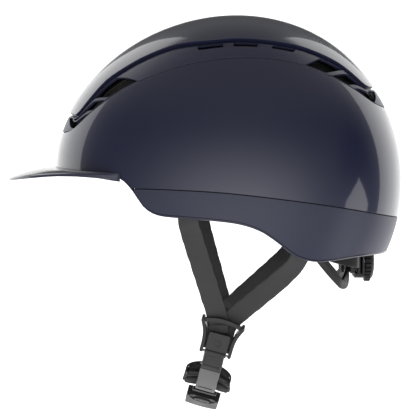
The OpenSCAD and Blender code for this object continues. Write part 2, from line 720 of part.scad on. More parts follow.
module chin_pad() {
    pad_half = 18.6;
    pad_s = [62.2, 63, 65, 67.5, 69.5, 71.5, 73.4];
    widths = [0.35, 0.6, 0.85, 0.97, 1, 1, 1];
    depth = [-7.6, -7.6, -7.6, -7.6, -7.6, -7.8, -8];
    left = [for (i = [0:len(pad_s) - 1]) [on_loop(pad_s[i], depth[i]), widths[i]]];
    all = concat(left, [for (i = [len(left) - 1:-1:0])
        [[left[i][0].x, -left[i][0].y, left[i][0].z], left[i][1]]]);
    last = len(all) - 1;
    normal = function(i) let (d = all[min(i + 1, last)][0] - all[max(i - 1, 0)][0])
        cross(d / norm(d), across);
    sheet = function(v) [for (u = [-1, 1]) [for (i = [0:last])
        all[i][0] + u * pad_half * all[i][1] * across + v * 2.4 * normal(i)]];
    color(charcoal) skin(sheet(1), sheet(-1));
}

module nape_pad() {
    color(charcoal) for (side = [0, 1]) mirror([0, side, 0])
        translate([88, -19, -66]) cube([3.6, 17.6, 21]);
}

upper_shell();
lower_shell();
rim_trim();
vent_frame();
crown_panel();
insect_mesh("left");  // insect_mesh_left
insect_mesh("right");  // insect_mesh_right
visor();
foam_liner();
brow_pad();
crown_pad();
side_pad("left");  // side_pad_left
side_pad("right");  // side_pad_right
nape_pad();
pad_fasteners();
cradle();
arm("left");  // arm_left
arm("right");  // arm_right
arm_anchors();
rack("left");  // rack_left
rack("right");  // rack_right
dial_housing();
housing_cover();
pinion();
dial_knob();
grip_ring();
dial_screw();
detent_spring();
strap_front("left");  // strap_front_left
strap_front("right");  // strap_front_right
strap_rear("left");  // strap_rear_left
strap_rear("right");  // strap_rear_right
strap_anchors();
anchor_rivets();
divider_frame("left");  // divider_frame_left
divider_frame("right");  // divider_frame_right
divider_flap("left");  // divider_flap_left
divider_flap("right");  // divider_flap_right
divider_pin("left");  // divider_pin_left
divider_pin("right");  // divider_pin_right
strap_fold("left");  // strap_fold_left
strap_fold("right");  // strap_fold_right
chin_strap("left");  // chin_strap_left
chin_strap("right");  // chin_strap_right
buckle_tongue();
buckle_body();
buckle_cover();
buckle_button();
button_spring();
chin_pad();
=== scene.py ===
import json
import math

import bmesh
import bpy
import numpy as np
from mathutils import Matrix, Vector
from mathutils.geometry import delaunay_2d_cdt


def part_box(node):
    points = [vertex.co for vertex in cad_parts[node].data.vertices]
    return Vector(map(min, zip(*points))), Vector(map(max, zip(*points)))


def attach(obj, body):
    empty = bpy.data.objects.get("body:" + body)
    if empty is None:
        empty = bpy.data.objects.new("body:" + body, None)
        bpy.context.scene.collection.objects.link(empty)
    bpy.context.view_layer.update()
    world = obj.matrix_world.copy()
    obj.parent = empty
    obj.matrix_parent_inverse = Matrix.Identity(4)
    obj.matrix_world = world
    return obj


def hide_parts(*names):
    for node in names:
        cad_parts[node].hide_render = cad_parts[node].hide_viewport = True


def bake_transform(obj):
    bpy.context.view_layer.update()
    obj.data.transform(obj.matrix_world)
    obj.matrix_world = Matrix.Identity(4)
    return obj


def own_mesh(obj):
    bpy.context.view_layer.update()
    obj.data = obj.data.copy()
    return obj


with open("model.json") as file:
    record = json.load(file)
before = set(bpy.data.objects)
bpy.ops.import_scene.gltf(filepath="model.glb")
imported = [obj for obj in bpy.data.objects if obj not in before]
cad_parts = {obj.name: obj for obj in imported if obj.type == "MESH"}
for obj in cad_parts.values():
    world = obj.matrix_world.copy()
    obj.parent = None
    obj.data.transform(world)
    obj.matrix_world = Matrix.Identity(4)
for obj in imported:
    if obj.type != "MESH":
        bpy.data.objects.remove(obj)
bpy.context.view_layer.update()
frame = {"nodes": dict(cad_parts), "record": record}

# Riding helmet. Lengths below are in millimetres and angles in degrees, and MM turns them into
# metres when a mesh is made. Front is -X, the wearer's left is -Y and up is +Z.
MM = 0.001

# ---------------------------------------------------------------- driving dimensions

HALF_LENGTH = 137.4
HALF_WIDTH = 107
CROWN_HEIGHT = 127.4
SHELL_WALL = 2.4
PANEL_PROUD = 0.6
CHANNEL_DEPTH = 4
VISOR_REACH = 175
FOAM_ENDS = 33.2
FOAM_SIDES = 24.2
FOAM_CROWN = 24.2
PAD_WALL = 6
STRAP_WIDTH = 15
STRAP_WALL = 1.5
STRAP_TILT = 15
DIAL_R = 18.2
GRIP_GROOVES = 30

SHELL_X = 6
EGG = 6.15
SHELL_Z = 11
DROOP = 4
SQUARENESS = 0.015
GAP = 0.3
WINDOW_SLANT = 19
FRAME_WALL = 1.8

# Side-view heights of the lower rim and of the seam: (x, z)
RIM_LINE = [(-150, 11), (-92, 11.5), (-80, 10.8), (-74, 6.8), (-68, 0), (-62, -9), (-56, -14.2),
            (-48, -17.1), (-30, -18.7), (0, -21.3), (14, -23.9), (26, -28.5), (36, -35.2), (46, -43.3),
            (54, -48.3), (64, -51.2), (76, -51.3), (100, -48.8), (125, -48.5), (150, -48.5)]
SEAM_LINE = [(-150, 1.5), (-69, 1.5), (-40, 0.9), (0, -1.4), (45, -6.6), (85, -12.6),
             (120, -19.4), (150, -25.5)]
# Cosine of the elevation at the channel's outer edge and at the crown panel's edge, by azimuth
CHANNEL_LINE = [(0, .9), (28, .889), (42, .833), (55, .772), (68, .729), (84, .713), (101, .732),
                (115, .774), (130, .85), (143, .925), (150, .957), (158, .968), (180, .967)]
PANEL_LINE = [(0, .82), (20, .832), (28, .826), (32, .79), (37, .738), (46, .678), (55, .633),
              (66, .601), (78, .582), (90, .575), (104, .594), (113, .606), (122, .63),
              (133, .702), (140, .767), (146, .826), (149, .885), (153, .93), (160, .931),
              (180, .926)]
FRONT_WINDOWS = [(126.5, 136.4), (137.8, 142.6), (144.2, 152)]
REAR_WINDOWS = [(28, 39.6), (42, 49.6), (51.8, 60.4)]
SLOTS = [(69, 77), (82, 90.5), (94, 102.5)]
WINDOW_ROWS = (0.07, 0.8)
SLOT_ROWS = (0.6, 0.82)


# ---------------------------------------------------------------- the helmet's form

def mix(a, b, u):
    return a + (b - a) * u


def clamp(u):
    return min(max(u, 0.0), 1.0)


def smooth(u):
    u = clamp(u)
    return u * u * (3 - 2 * u)


def cos_d(a):
    return math.cos(math.radians(a))


def sin_d(a):
    return math.sin(math.radians(a))


def curve(table, x):
    """Smooth curve through a table of (key, value) rows."""
    last = len(table) - 1
    i = 0
    while i < last - 1 and x >= table[i + 1][0]:
        i += 1

    def slope(k):
        a, b = table[max(k - 1, 0)], table[min(k + 1, last)]
        return (b[1] - a[1]) / (b[0] - a[0])

    a, b = table[i], table[i + 1]
    d = b[0] - a[0]
    u = clamp((x - a[0]) / d)
    return (a[1] * (2 * u**3 - 3 * u**2 + 1) + b[1] * (3 * u**2 - 2 * u**3)
            + slope(i) * d * (u**3 - 2 * u**2 + u) + slope(i + 1) * d * (u**3 - u**2))


def form(phi, psi, t=0.0):
    """A point of the helmet at an azimuth and an elevation, moved inwards by t."""
    tx, ty, tz = t if isinstance(t, (tuple, list)) else (t, t, t)
    h = cos_d(psi)
    k = 1 + SQUARENESS * (1 - cos_d(4 * phi)) * h * h
    x, y = h * k * cos_d(phi), h * k * sin_d(phi)
    return Vector((SHELL_X + (HALF_LENGTH - tx - EGG * x) * x, (HALF_WIDTH - ty) * y,
                   SHELL_Z - DROOP * x + (CROWN_HEIGHT - tz + DROOP * x) * sin_d(psi)))


def psi_on(phi, *lines):
    """The elevation at which the form crosses the highest of some side-view lines."""
    low, high = -45.0, 50.0
    for _ in range(20):
        middle = (low + high) / 2
        p = form(phi, middle)
        if p.z < max(curve(line, p.x) for line in lines):
            low = middle
        else:
            high = middle
    return middle


def turned(phi, w):
    return phi - WINDOW_SLANT * sin_d(2 * phi) * clamp(w - 1)


def zone_psi(phi, w, foot):
    channel = math.degrees(math.acos(curve(CHANNEL_LINE, abs(phi))))
    if w < 1:
        return mix(foot, channel, w)
    panel = math.degrees(math.acos(curve(PANEL_LINE, abs(phi))))
    return mix(channel, panel, w - 1) if w < 2 else mix(panel, 90, w - 2)


def spot(phi, w, t=0.0, foot=0.0):
    """A point by zone: w is 0 to 1 from the foot to the vent channel, 1 to 2 over the channel
    and 2 to 3 over the crown panel."""
    phi = turned(phi, w)
    if phi > 180:
        phi -= 360
    if phi < -180:
        phi += 360
    return form(phi, zone_psi(phi, w, foot), t)


def form_normal(phi, psi, t=0.0):
    side = form(phi + 0.5, psi, t) - form(phi - 0.5, psi, t)
    rise = form(phi, psi + 0.5, t) - form(phi, psi - 0.5, t)
    return side.cross(rise).normalized()


# ---------------------------------------------------------------- mesh tools

def add_object(name, mesh):
    piece = bpy.data.objects.new(name, mesh)
    bpy.context.scene.collection.objects.link(piece)
    return piece


def shade_smooth(piece):
    piece.data.polygons.foreach_set("use_smooth", [True] * len(piece.data.polygons))
    return piece


def mesh_piece(name, points, faces, smooth_faces=True):
    """A piece from points in millimetres."""
    mesh = bpy.data.meshes.new(name)
    mesh.from_pydata([Vector(p) * MM for p in points], [], [list(f) for f in faces])
    mesh.update()
    piece = add_object(name, mesh)
    return shade_smooth(piece) if smooth_faces else piece


def edit_mesh(piece, change):
    """Runs change(mesh) on a piece's mesh."""
    mesh = bmesh.new()
    mesh.from_mesh(piece.data)
    change(mesh)
    mesh.to_mesh(piece.data)
    mesh.free()
    return piece


def outward(piece):
    """Turns every face outwards."""
    return edit_mesh(piece, lambda mesh: bmesh.ops.recalc_face_normals(mesh, faces=mesh.faces))


def bevel(piece, width, segments=3, angle=35):
    """Rounds the edges that turn more than an angle."""
    modifier = piece.modifiers.new("bevel", "BEVEL")
    modifier.width = width * MM
    modifier.segments = segments
    modifier.limit_method = "ANGLE"
    modifier.angle_limit = math.radians(angle)
    modifier.miter_outer = "MITER_ARC"
    modifier.harden_normals = False
    normals = piece.modifiers.new("normals", "WEIGHTED_NORMAL")
    normals.keep_sharp = True
    normals.weight = 60
    return piece


def subdivide(piece):
    modifier = piece.modifiers.new("subdivision", "SUBSURF")
    modifier.levels = 1
    modifier.render_levels = 1
    return piece


def apply_modifiers(piece):
    """Replaces the mesh by what its modifiers make of it."""
    bpy.context.view_layer.update()
    graph = bpy.context.evaluated_depsgraph_get()
    mesh = bpy.data.meshes.new_from_object(piece.evaluated_get(graph), depsgraph=graph)
    piece.modifiers.clear()
    piece.data = mesh
    return piece


def skin(name, outer, inner, wrap=False, keep=None, poles=None):
    """A closed shell between an outer and an inner grid of points."""
    rows, cols = len(outer), len(outer[0])
    n = rows * cols
    cells = cols if wrap else cols - 1
    keep = keep or (lambda r, c: True)

    def at(r, c):
        return r * cols + c % cols

    def kept(r, c):
        if not 0 <= r < rows - 1 or (not wrap and not 0 <= c < cells):
            return False
        return keep(r, c % cells)

    faces = []
    for r in range(rows - 1):
        for c in range(cells):
            if not keep(r, c):
                continue
            a, b, d, e = at(r, c), at(r, c + 1), at(r + 1, c), at(r + 1, c + 1)
            faces += [(a, b, e, d), (a + n, d + n, e + n, b + n)]
            if not kept(r - 1, c):
                faces.append((a, a + n, b + n, b))
            if not kept(r, c + 1):
                faces.append((b, b + n, e + n, e))
            if not kept(r + 1, c) and not (poles and r == rows - 2):
                faces.append((e, e + n, d + n, d))
            if not kept(r, c - 1):
                faces.append((d, d + n, a + n, a))
    points = [p for row in outer for p in row] + [p for row in inner for p in row]
    if poles:
        points += poles
        for c in range(cells):
            a, b = at(rows - 1, c), at(rows - 1, c + 1)
            faces += [(a, b, 2 * n), (b + n, a + n, 2 * n + 1)]
    used = sorted({i for f in faces for i in f})
    place = {old: new for new, old in enumerate(used)}
    return mesh_piece(name, [points[i] for i in used], [[place[i] for i in f] for f in faces])


def inside(p, loop):
    """Whether a point lies in a closed loop of points."""
    found = False
    j = len(loop) - 1
    for i in range(len(loop)):
        (xi, yi), (xj, yj) = loop[i][:2], loop[j][:2]
        if (yi > p[1]) != (yj > p[1]) and p[0] < (xj - xi) * (p[1] - yi) / (yj - yi) + xi:
            found = not found
        j = i
    return found


def relief(name, outline, levels, low, place, high=1.0, fill=0, clear=None, seam=None):
    """A closed plate of terraces. outline is its plan, levels are (loop, height) in the order
    in which each covers the last, with None as the height of a hole, low is its underside and
    place(u, v, height) gives the point. fill spaces points inside it, and seam joins two ends."""
    loops = [outline] + [loop for loop, _ in levels]
    verts, edges = [], []
    for loop in loops:
        start = len(verts)
        verts += [Vector(p[:2]) for p in loop]
        edges += [(start + i, start + (i + 1) % len(loop)) for i in range(len(loop))]
    if fill:
        us, vs = [p[0] for p in outline], [p[1] for p in outline]
        segments = np.array([(verts[a][0], verts[a][1], verts[b][0], verts[b][1]) for a, b in edges])
        near = (clear or fill * 0.55) ** 2
        row = 0
        v = min(vs) + fill * 0.5
        while v < max(vs):
            u = min(us) + fill * (0.25 + 0.5 * (row % 2))
            while u < max(us):
                a, d = segments[:, :2], segments[:, 2:] - segments[:, :2]
                s = np.clip(((u - a[:, 0]) * d[:, 0] + (v - a[:, 1]) * d[:, 1])
                            / np.maximum((d ** 2).sum(1), 1e-9), 0, 1)
                gap = (a[:, 0] + s * d[:, 0] - u) ** 2 + (a[:, 1] + s * d[:, 1] - v) ** 2
                if gap.min() > near and inside((u, v), outline):
                    verts.append(Vector((u, v)))
                u += fill
            v += fill * 0.87
            row += 1
    plan, _, tris = delaunay_2d_cdt(verts, edges, [], 0, 1e-4)[:3]
    join = {}
    if seam:
        ends = {round(p[1], 3): i for i, p in enumerate(plan) if abs(p[0] - seam[0]) < 1e-3}
        join = {i: ends[round(p[1], 3)] for i, p in enumerate(plan) if abs(p[0] - seam[1]) < 1e-3}

    def height(tri):
        middle = sum((plan[i] for i in tri), Vector((0, 0))) / 3
        if not inside(middle, outline):
            return None
        found = high
        for loop, level in levels:
            if inside(middle, loop):
                found = level
        return found

    index, points, faces, stacks, sides = {}, [], [], {}, {}

    def vertex(i, z):
        i = join.get(i, i)
        key = (i, round(z, 4))
        if key not in index:
            index[key] = len(points)
            points.append(place(plan[i][0], plan[i][1], z))
            stacks.setdefault(i, []).append(z)
        return index[key]

    tops = []
    for tri in tris:
        top = height(tri)
        if top is None:
            continue
        tops.append((tri, top))
        faces.append([vertex(i, top) for i in tri])
        faces.append([vertex(i, low) for i in reversed(tri)])
        for a, b in zip(tri, list(tri[1:]) + [tri[0]]):
            sides.setdefault((join.get(a, a), join.get(b, b)), []).append(top)
    for (a, b), (top, *_) in list(sides.items()):
        other = sides.get((b, a), [low])[0]
        if other >= top - 1e-6:
            continue
        left = sorted(z for z in set(stacks[a]) if other - 1e-6 <= z <= top + 1e-6)
        right = sorted((z for z in set(stacks[b]) if other - 1e-6 <= z <= top + 1e-6), reverse=True)
        faces.append([vertex(a, z) for z in left] + [vertex(b, z) for z in right])
    return outward(mesh_piece(name, points, faces))


def arc(centre, r, first, last, steps=8):
    """Points along an arc, with its angles in degrees."""
    rx, ry = r if isinstance(r, (tuple, list)) else (r, r)
    return [(centre[0] + rx * cos_d(mix(first, last, i / steps)),
             centre[1] + ry * sin_d(mix(first, last, i / steps))) for i in range(steps + 1)]


def oval(centre, a, b, steps=48):
    return arc(centre, (a, b), 0, 360, steps)[:-1]


def rectangle(u_low, v_low, u_high, v_high):
    return [(u_low, v_low), (u_high, v_low), (u_high, v_high), (u_low, v_high)]


def rounded(corners, r, steps=5):
    """A closed outline with its corners rounded."""
    result = []
    n = len(corners)
    for i in range(n):
        before, here, after = (Vector(corners[k % n][:2]) for k in (i - 1, i, i + 1))
        size = corners[i][2] if len(corners[i]) > 2 else r
        one, two = (before - here), (after - here)
        cut = min(size, one.length * 0.49, two.length * 0.49)
        a, b = here + one.normalized() * cut, here + two.normalized() * cut
        for k in range(steps + 1):
            u = k / steps
            p = a * (1 - u) ** 2 + here * (2 * u * (1 - u)) + b * u * u
            result.append((p.x, p.y))
    return result


def dense(loop, step):
    """A closed outline with no gap longer than a step."""
    result = []
    for i, p in enumerate(loop):
        q = loop[(i + 1) % len(loop)]
        parts = max(1, math.ceil(math.dist(p[:2], q[:2]) / step))
        result += [(mix(p[0], q[0], k / parts), mix(p[1], q[1], k / parts)) for k in range(parts)]
    return result


def through(points, step):
    """A smooth run through points, each of any number of values, with a step of about that."""
    rows = [np.array(p, float) for p in points]
    result = []
    for i in range(len(rows) - 1):
        a, b = rows[max(i - 1, 0)], rows[i]
        c, d = rows[i + 1], rows[min(i + 2, len(rows) - 1)]
        parts = max(1, math.ceil(np.linalg.norm((c - b)[:3]) / step))
        for k in range(parts):
            u = k / parts
            result.append(0.5 * (2 * b + (c - a) * u + (2 * a - 5 * b + 4 * c - d) * u**2
                                 + (3 * b - a - 3 * c + d) * u**3))
    return result + [rows[-1]]


def frame_place(axes):
    """Turns plan coordinates and a height into a point of a frame (origin, x, y, z)."""
    o, x, y, z = axes
    return lambda u, v, h: o + u * x + v * y + h * z


def plate(name, outline, levels, low, high, axes):
    """A terraced plate between two heights of a frame."""
    return relief(name, outline, levels, low, frame_place(axes), high=high)


# The section of a round cord, and a direction that none of the cords runs along
ROUND = [(0.5 * cos_d(a), 0.5 * sin_d(a)) for a in range(0, 360, 45)]
SKEW = (0.3, 0.5, 0.8)


def swept(name, stations, section, closed_ends=True, uv=False):
    """A solid along stations of (centre, direction across, width, thickness). section is a loop
    of (share of the width, share of the thickness)."""
    count = len(stations)
    points, faces, lengths = [], [], [0.0]
    for i, (centre, across, wide, thick) in enumerate(stations):
        centre = Vector(centre)
        along = (Vector(stations[min(i + 1, count - 1)][0])
                 - Vector(stations[max(i - 1, 0)][0])).normalized()
        side = Vector(across) - along * Vector(across).dot(along)
        side.normalize()
        up = along.cross(side)
        points += [centre + side * (u * wide) + up * (v * thick) for u, v in section]
        if i:
            lengths.append(lengths[-1] + (centre - Vector(stations[i - 1][0])).length)
    n = len(section)
    for i in range(count - 1):
        for k in range(n):
            a, b = i * n + k, i * n + (k + 1) % n
            faces.append((a, b, b + n, a + n))
    if closed_ends:
        faces += [tuple(range(n))[::-1], tuple(range((count - 1) * n, count * n))]
    piece = mesh_piece(name, points, faces)
    if uv:
        layer = piece.data.uv_layers.new(name="weave")
        wide = max(s[2] for s in stations)
        for loop in piece.data.loops:
            i, k = divmod(loop.vertex_index, n)
            layer.data[loop.index].uv = (section[k][0] * wide, lengths[i])
    return outward(piece)


def cord(name, points, r, closed_ends=True):
    """A round cord through points."""
    return swept(name, [(p, SKEW, 2 * r, 2 * r) for p in points], ROUND, closed_ends)


def webbing_section(wide, thick, corner=0.6):
    """The flat section of a strap, with rounded selvages, as shares of its width and wall."""
    r = min(corner, thick / 2)
    columns = 6
    half = [(wide / 2 - r + r * sin_d(a), thick / 2 - r + r * cos_d(a)) for a in range(0, 91, 30)]
    top = [(mix(-wide / 2 + r, wide / 2 - r, k / columns), thick / 2) for k in range(1, columns)]
    right = half + [(x, -y) for x, y in reversed(half)]
    bottom = [(-x, -y) for x, y in top]
    left = [(-x, -y) for x, y in half] + [(-x, y) for x, y in reversed(half)]
    return [(x / wide, y / thick) for x, y in top + right + bottom + left]


def joined(name, pieces):
    """One object from several, without modifiers."""
    mesh = bmesh.new()
    for piece in pieces:
        mesh.from_mesh(piece.data)
    data = bpy.data.meshes.new(name)
    mesh.to_mesh(data)
    mesh.free()
    for piece in pieces:
        bpy.data.objects.remove(piece)
    return add_object(name, data)


def turned_solid(name, profile, axes, steps=96, ribs=None):
    """A solid of revolution about a frame's z: profile is a loop of (radius, height), and
    ribs(angle, radius) may change a radius."""
    place = frame_place(axes)
    n = len(profile)
    points, faces = [], []
    for i in range(steps):
        angle = 360 * i / steps
        for r, h in profile:
            size = ribs(angle, r) if ribs else r
            points.append(place(size * cos_d(angle), size * sin_d(angle), h))
    for i in range(steps):
        for k in range(n):
            a, b = i * n + k, i * n + (k + 1) % n
            c, d = ((i + 1) % steps) * n + (k + 1) % n, ((i + 1) % steps) * n + k
            faces.append((a, b, c, d))
    piece = mesh_piece(name, points, faces)
    return outward(edit_mesh(piece, lambda mesh: bmesh.ops.remove_doubles(mesh, verts=mesh.verts,
                                                                          dist=1e-6)))


# ---------------------------------------------------------------- materials

class Finish:
    """A material with a Principled shader, and short calls for its nodes."""

    def __init__(self, name, color, roughness, **sockets):
        self.material = bpy.data.materials.new(name)
        self.material.use_nodes = True
        self.tree = self.material.node_tree
        self.shader = self.tree.nodes["Principled BSDF"]
        self.material.diffuse_color = (*color, 1)
        self.set("Base Color", (*color, 1))
        self.set("Roughness", roughness)
        for socket, value in sockets.items():
            self.set(socket.replace("_", " "), value)

    def set(self, socket, value):
        self.shader.inputs[socket].default_value = value

    def link(self, output, socket):
        self.tree.links.new(output, socket)

    def node(self, kind, **values):
        made = self.tree.nodes.new("ShaderNode" + kind)
        for key, value in values.items():
            if hasattr(made, key):
                setattr(made, key, value)
            else:
                made.inputs[key.replace("_", " ")].default_value = value
        return made

    def place(self):
        """The helmet's own coordinates, in metres."""
        return self.node("TexCoord").outputs["Object"]

    def noise(self, scale, detail=2.0, stretch=None):
        made = self.node("TexNoise", Scale=scale, Detail=detail)
        where = self.place()
        if stretch:
            mapping = self.node("Mapping", Scale=stretch)
            self.link(where, mapping.inputs["Vector"])
            where = mapping.outputs["Vector"]
        self.link(where, made.inputs["Vector"])
        return made.outputs["Fac"]

    def cells(self, scale, feature="F1", randomness=1.0):
        made = self.node("TexVoronoi", feature=feature, Scale=scale, Randomness=randomness)
        self.link(self.place(), made.inputs["Vector"])
        return made

    def math(self, operation, a, b=0.0, c=0.0):
        made = self.node("Math", operation=operation)
        for slot, value in zip(made.inputs, (a, b, c)):
            if isinstance(value, (int, float)):
                slot.default_value = value
            else:
                self.link(value, slot)
        return made.outputs[0]

    def spread(self, value, low, high, to_low=0.0, to_high=1.0):
        made = self.node("MapRange", From_Min=low, From_Max=high, To_Min=to_low, To_Max=to_high)
        self.link(value, made.inputs["Value"])
        return made.outputs["Result"]

    def tint(self, factor, first, second):
        """Colour the surface from one colour to another by a factor."""
        made = self.node("Mix", data_type="RGBA")
        self.link(factor, made.inputs[0])
        made.inputs[6].default_value = (*first, 1)
        made.inputs[7].default_value = (*second, 1)
        self.link(made.outputs[2], self.shader.inputs["Base Color"])

    def rough(self, value):
        self.link(value, self.shader.inputs["Roughness"])

    def bump(self, height, depth, strength=1.0, coat=False):
        """Raises the surface by a depth in millimetres."""
        made = self.node("Bump", Strength=strength, Distance=depth * MM)
        self.link(height, made.inputs["Height"])
        self.link(made.outputs["Normal"], self.shader.inputs["Normal"])
        if coat:
            self.link(made.outputs["Normal"], self.shader.inputs["Coat Normal"])


def scaled(color, factor):
    return tuple(c * factor for c in color)


NAVY = (0.0122, 0.0148, 0.044)
NAVY_SATIN = (0.026, 0.0292, 0.06)
BLACK = (0.0095, 0.0095, 0.0105)
CHARCOAL = (0.028, 0.028, 0.029)
WEBBING = (0.052, 0.052, 0.054)
WEBBING_GREY = (0.16, 0.16, 0.163)


def gloss_shell():
    f = Finish("gloss_shell", NAVY, 0.34, Coat_Weight=1.0, Coat_Roughness=0.025,
               Coat_IOR=1.5, Specular_IOR_Level=0.35)
    flakes = f.cells(5200)
    f.tint(f.math("POWER", flakes.outputs["Color"], 3.0), scaled(NAVY, 0.93), scaled(NAVY, 1.16))
    f.rough(f.spread(f.noise(28, 5.0), 0.3, 0.7, 0.31, 0.38))
    f.bump(f.noise(700, 2.0), 0.0035, 0.5, coat=True)
    return f.material


def satin_shell():
    f = Finish("satin_shell", NAVY_SATIN, 0.42, Specular_IOR_Level=0.5)
    wear = f.noise(16, 6.0)
    f.tint(wear, scaled(NAVY_SATIN, 0.9), scaled(NAVY_SATIN, 1.12))
    f.rough(f.spread(wear, 0.3, 0.7, 0.36, 0.46))
    f.bump(f.noise(2600, 1.0), 0.012, 0.55)
    return f.material


def satin_visor():
    f = Finish("satin_visor", NAVY_SATIN, 0.3, Specular_IOR_Level=0.5, Coat_Weight=0.6,
               Coat_Roughness=0.12)
    wear = f.noise(20, 6.0)
    f.tint(wear, scaled(NAVY_SATIN, 0.85), scaled(NAVY_SATIN, 1.05))
    f.bump(f.noise(2600, 1.0), 0.008, 0.4)
    return f.material


def edge_trim():
    f = Finish("edge_trim", scaled(NAVY, 0.7), 0.3, Coat_Weight=0.5, Coat_Roughness=0.15)
    f.tint(f.noise(60, 4.0), scaled(NAVY, 0.6), scaled(NAVY, 0.85))
    f.bump(f.noise(1800, 2.0), 0.01, 0.5)
    return f.material


def black_nylon(name="black_nylon", color=BLACK, roughness=0.42, grain=1.0):
    """Moulded nylon with a fine spark-eroded grain and worn patches a little lighter."""
    f = Finish(name, color, roughness, Specular_IOR_Level=0.45)
    wear = f.noise(90, 6.0)
    f.tint(f.spread(wear, 0.35, 0.75), scaled(color, 0.85), scaled(color, 1.35))
    f.rough(f.spread(wear, 0.3, 0.7, roughness - 0.05, roughness + 0.09))
    f.bump(f.noise(3200, 2.0), 0.02 * grain, 0.6)
    return f.material


def moulded_foam():
    """Expanded foam: rounded beads pressed together, with shade painted into the pits between them."""
    color = (0.016, 0.016, 0.017)
    f = Finish("moulded_foam", color, 0.7, Specular_IOR_Level=0.3)
    beads = f.cells(330)
    edge = f.cells(330, "DISTANCE_TO_EDGE")
    pits = f.spread(edge.outputs["Distance"], 0.0, 0.11)
    # Bead tone varies at random, and the pits between beads are painted darker as shade.
    bead_tone_and_pit_shade = f.math("MULTIPLY_ADD", beads.outputs["Color"], 0.35, f.math("MULTIPLY", pits, 0.6))
    f.tint(bead_tone_and_pit_shade, scaled(color, 0.45), scaled(color, 1.5))
    f.rough(f.spread(pits, 0.0, 1.0, 0.85, 0.6))
    f.bump(f.math("ADD", pits, f.math("MULTIPLY", f.noise(1500), 0.15)), 0.22, 0.8)
    return f.material


def knit(name="knit", color=(0.016, 0.016, 0.0175), light=1.9, scale=1050):
    """A brushed knit: small regular loops under a haze of loose fibres."""
    f = Finish(name, color, 0.92, Specular_IOR_Level=0.2, Sheen_Weight=0.35,
               Sheen_Roughness=0.45, Sheen_Tint=(0.5, 0.5, 0.52, 1))
    loops = f.cells(scale, randomness=0.35)
    fuzz = f.noise(2400, 5.0)
    worn = f.noise(45, 4.0)
    shade = f.math("MULTIPLY_ADD", fuzz, 0.5, f.math("MULTIPLY", worn, 0.45))
    f.tint(shade, scaled(color, 0.55), scaled(color, light))
    height = f.math("MULTIPLY_ADD", loops.outputs["Distance"], -0.9, f.math("MULTIPLY", fuzz, 0.5))
    f.bump(height, 0.3, 0.85)
    return f.material


def hook_tape():
    f = Finish("hook_tape", (0.012, 0.012, 0.013), 0.7, Sheen_Weight=0.2)
    hooks = f.cells(1250, randomness=0.1)
    # The base between the hooks is painted darker than the hooks, as painted shade.
    f.tint(hooks.outputs["Distance"], (0.022, 0.022, 0.023), (0.006, 0.006, 0.006))
    f.bump(f.math("MULTIPLY", hooks.outputs["Distance"], -1.0), 0.5)
    return f.material


def webbing(name, color, sheen):
    """Flat woven strap: columns of slanted warp bundles, by the weave map in millimetres."""
    f = Finish(name, color, 0.8, Specular_IOR_Level=0.3, Sheen_Weight=sheen,
               Sheen_Roughness=0.4, Sheen_Tint=(0.75, 0.75, 0.78, 1))
    weave = f.node("UVMap", uv_map="weave").outputs["UV"]
    split = f.node("SeparateXYZ")
    f.link(weave, split.inputs[0])
    column = f.math("DIVIDE", split.outputs["X"], 0.94)
    side = f.math("PINGPONG", column, 1.0)
    lean = f.math("MULTIPLY", side, 0.85)
    row = f.math("ADD", f.math("DIVIDE", split.outputs["Y"], 0.8), lean)
    ridge = f.math("ABSOLUTE", f.math("SINE", f.math("MULTIPLY", column, math.pi)))
    bundle = f.math("MULTIPLY_ADD", f.math("SINE", f.math("MULTIPLY", row, 2 * math.pi)), 0.5, 0.5)
    fibre = f.noise(2600, 4.0)
    height = f.math("MULTIPLY_ADD", ridge, 0.55, f.math("MULTIPLY", bundle, 0.45))
    worn = f.noise(60, 5.0)
    # The weave's grooves are painted darker and its ridges lighter, as painted shade and light; fibre
    # and wear noise vary the tone on top.
    shade = f.math("ADD", f.math("MULTIPLY", height, 0.55),
                   f.math("MULTIPLY_ADD", fibre, 0.25, f.math("MULTIPLY", worn, 0.25)))
    f.tint(shade, scaled(color, 0.5), scaled(color, 1.42))
    f.bump(f.math("ADD", height, f.math("MULTIPLY", fibre, 0.25)), 0.16, 0.75)
    return f.material


def thread():
    f = Finish("thread", (0.008, 0.008, 0.0085), 0.6, Sheen_Weight=0.3)
    twist = f.noise(4200, 2.0)
    f.tint(twist, (0.005, 0.005, 0.005), (0.016, 0.016, 0.017))
    f.bump(twist, 0.08)
    return f.material


def grip_rubber():
    f = Finish("grip_rubber", (0.012, 0.012, 0.0125), 0.62, Specular_IOR_Level=0.35)
    dust = f.noise(320, 6.0)
    f.tint(dust, (0.008, 0.008, 0.0085), (0.02, 0.02, 0.021))
    f.bump(f.noise(2200, 3.0), 0.03, 0.6)
    return f.material


def plated_steel():
    f = Finish("plated_steel", (0.52, 0.52, 0.54), 0.28, Metallic=1.0)
    brushed = f.noise(900, 4.0, stretch=(1, 1, 9))
    f.tint(brushed, (0.42, 0.42, 0.44), (0.62, 0.62, 0.64))
    f.rough(f.spread(brushed, 0.3, 0.7, 0.22, 0.36))
    f.bump(brushed, 0.004, 0.6)
    return f.material


def acetal():
    f = Finish("acetal", (0.2, 0.2, 0.21), 0.35)
    f.tint(f.noise(200, 4.0), (0.17, 0.17, 0.18), (0.23, 0.23, 0.24))
    f.bump(f.noise(2600, 2.0), 0.01, 0.5)
    return f.material


def mesh_wire():
    f = Finish("mesh_wire", (0.02, 0.02, 0.022), 0.4, Specular_IOR_Level=0.5)
    f.tint(f.noise(700, 2.0), (0.013, 0.013, 0.014), (0.04, 0.04, 0.042))
    f.bump(f.noise(3000, 2.0), 0.01, 0.5)
    return f.material


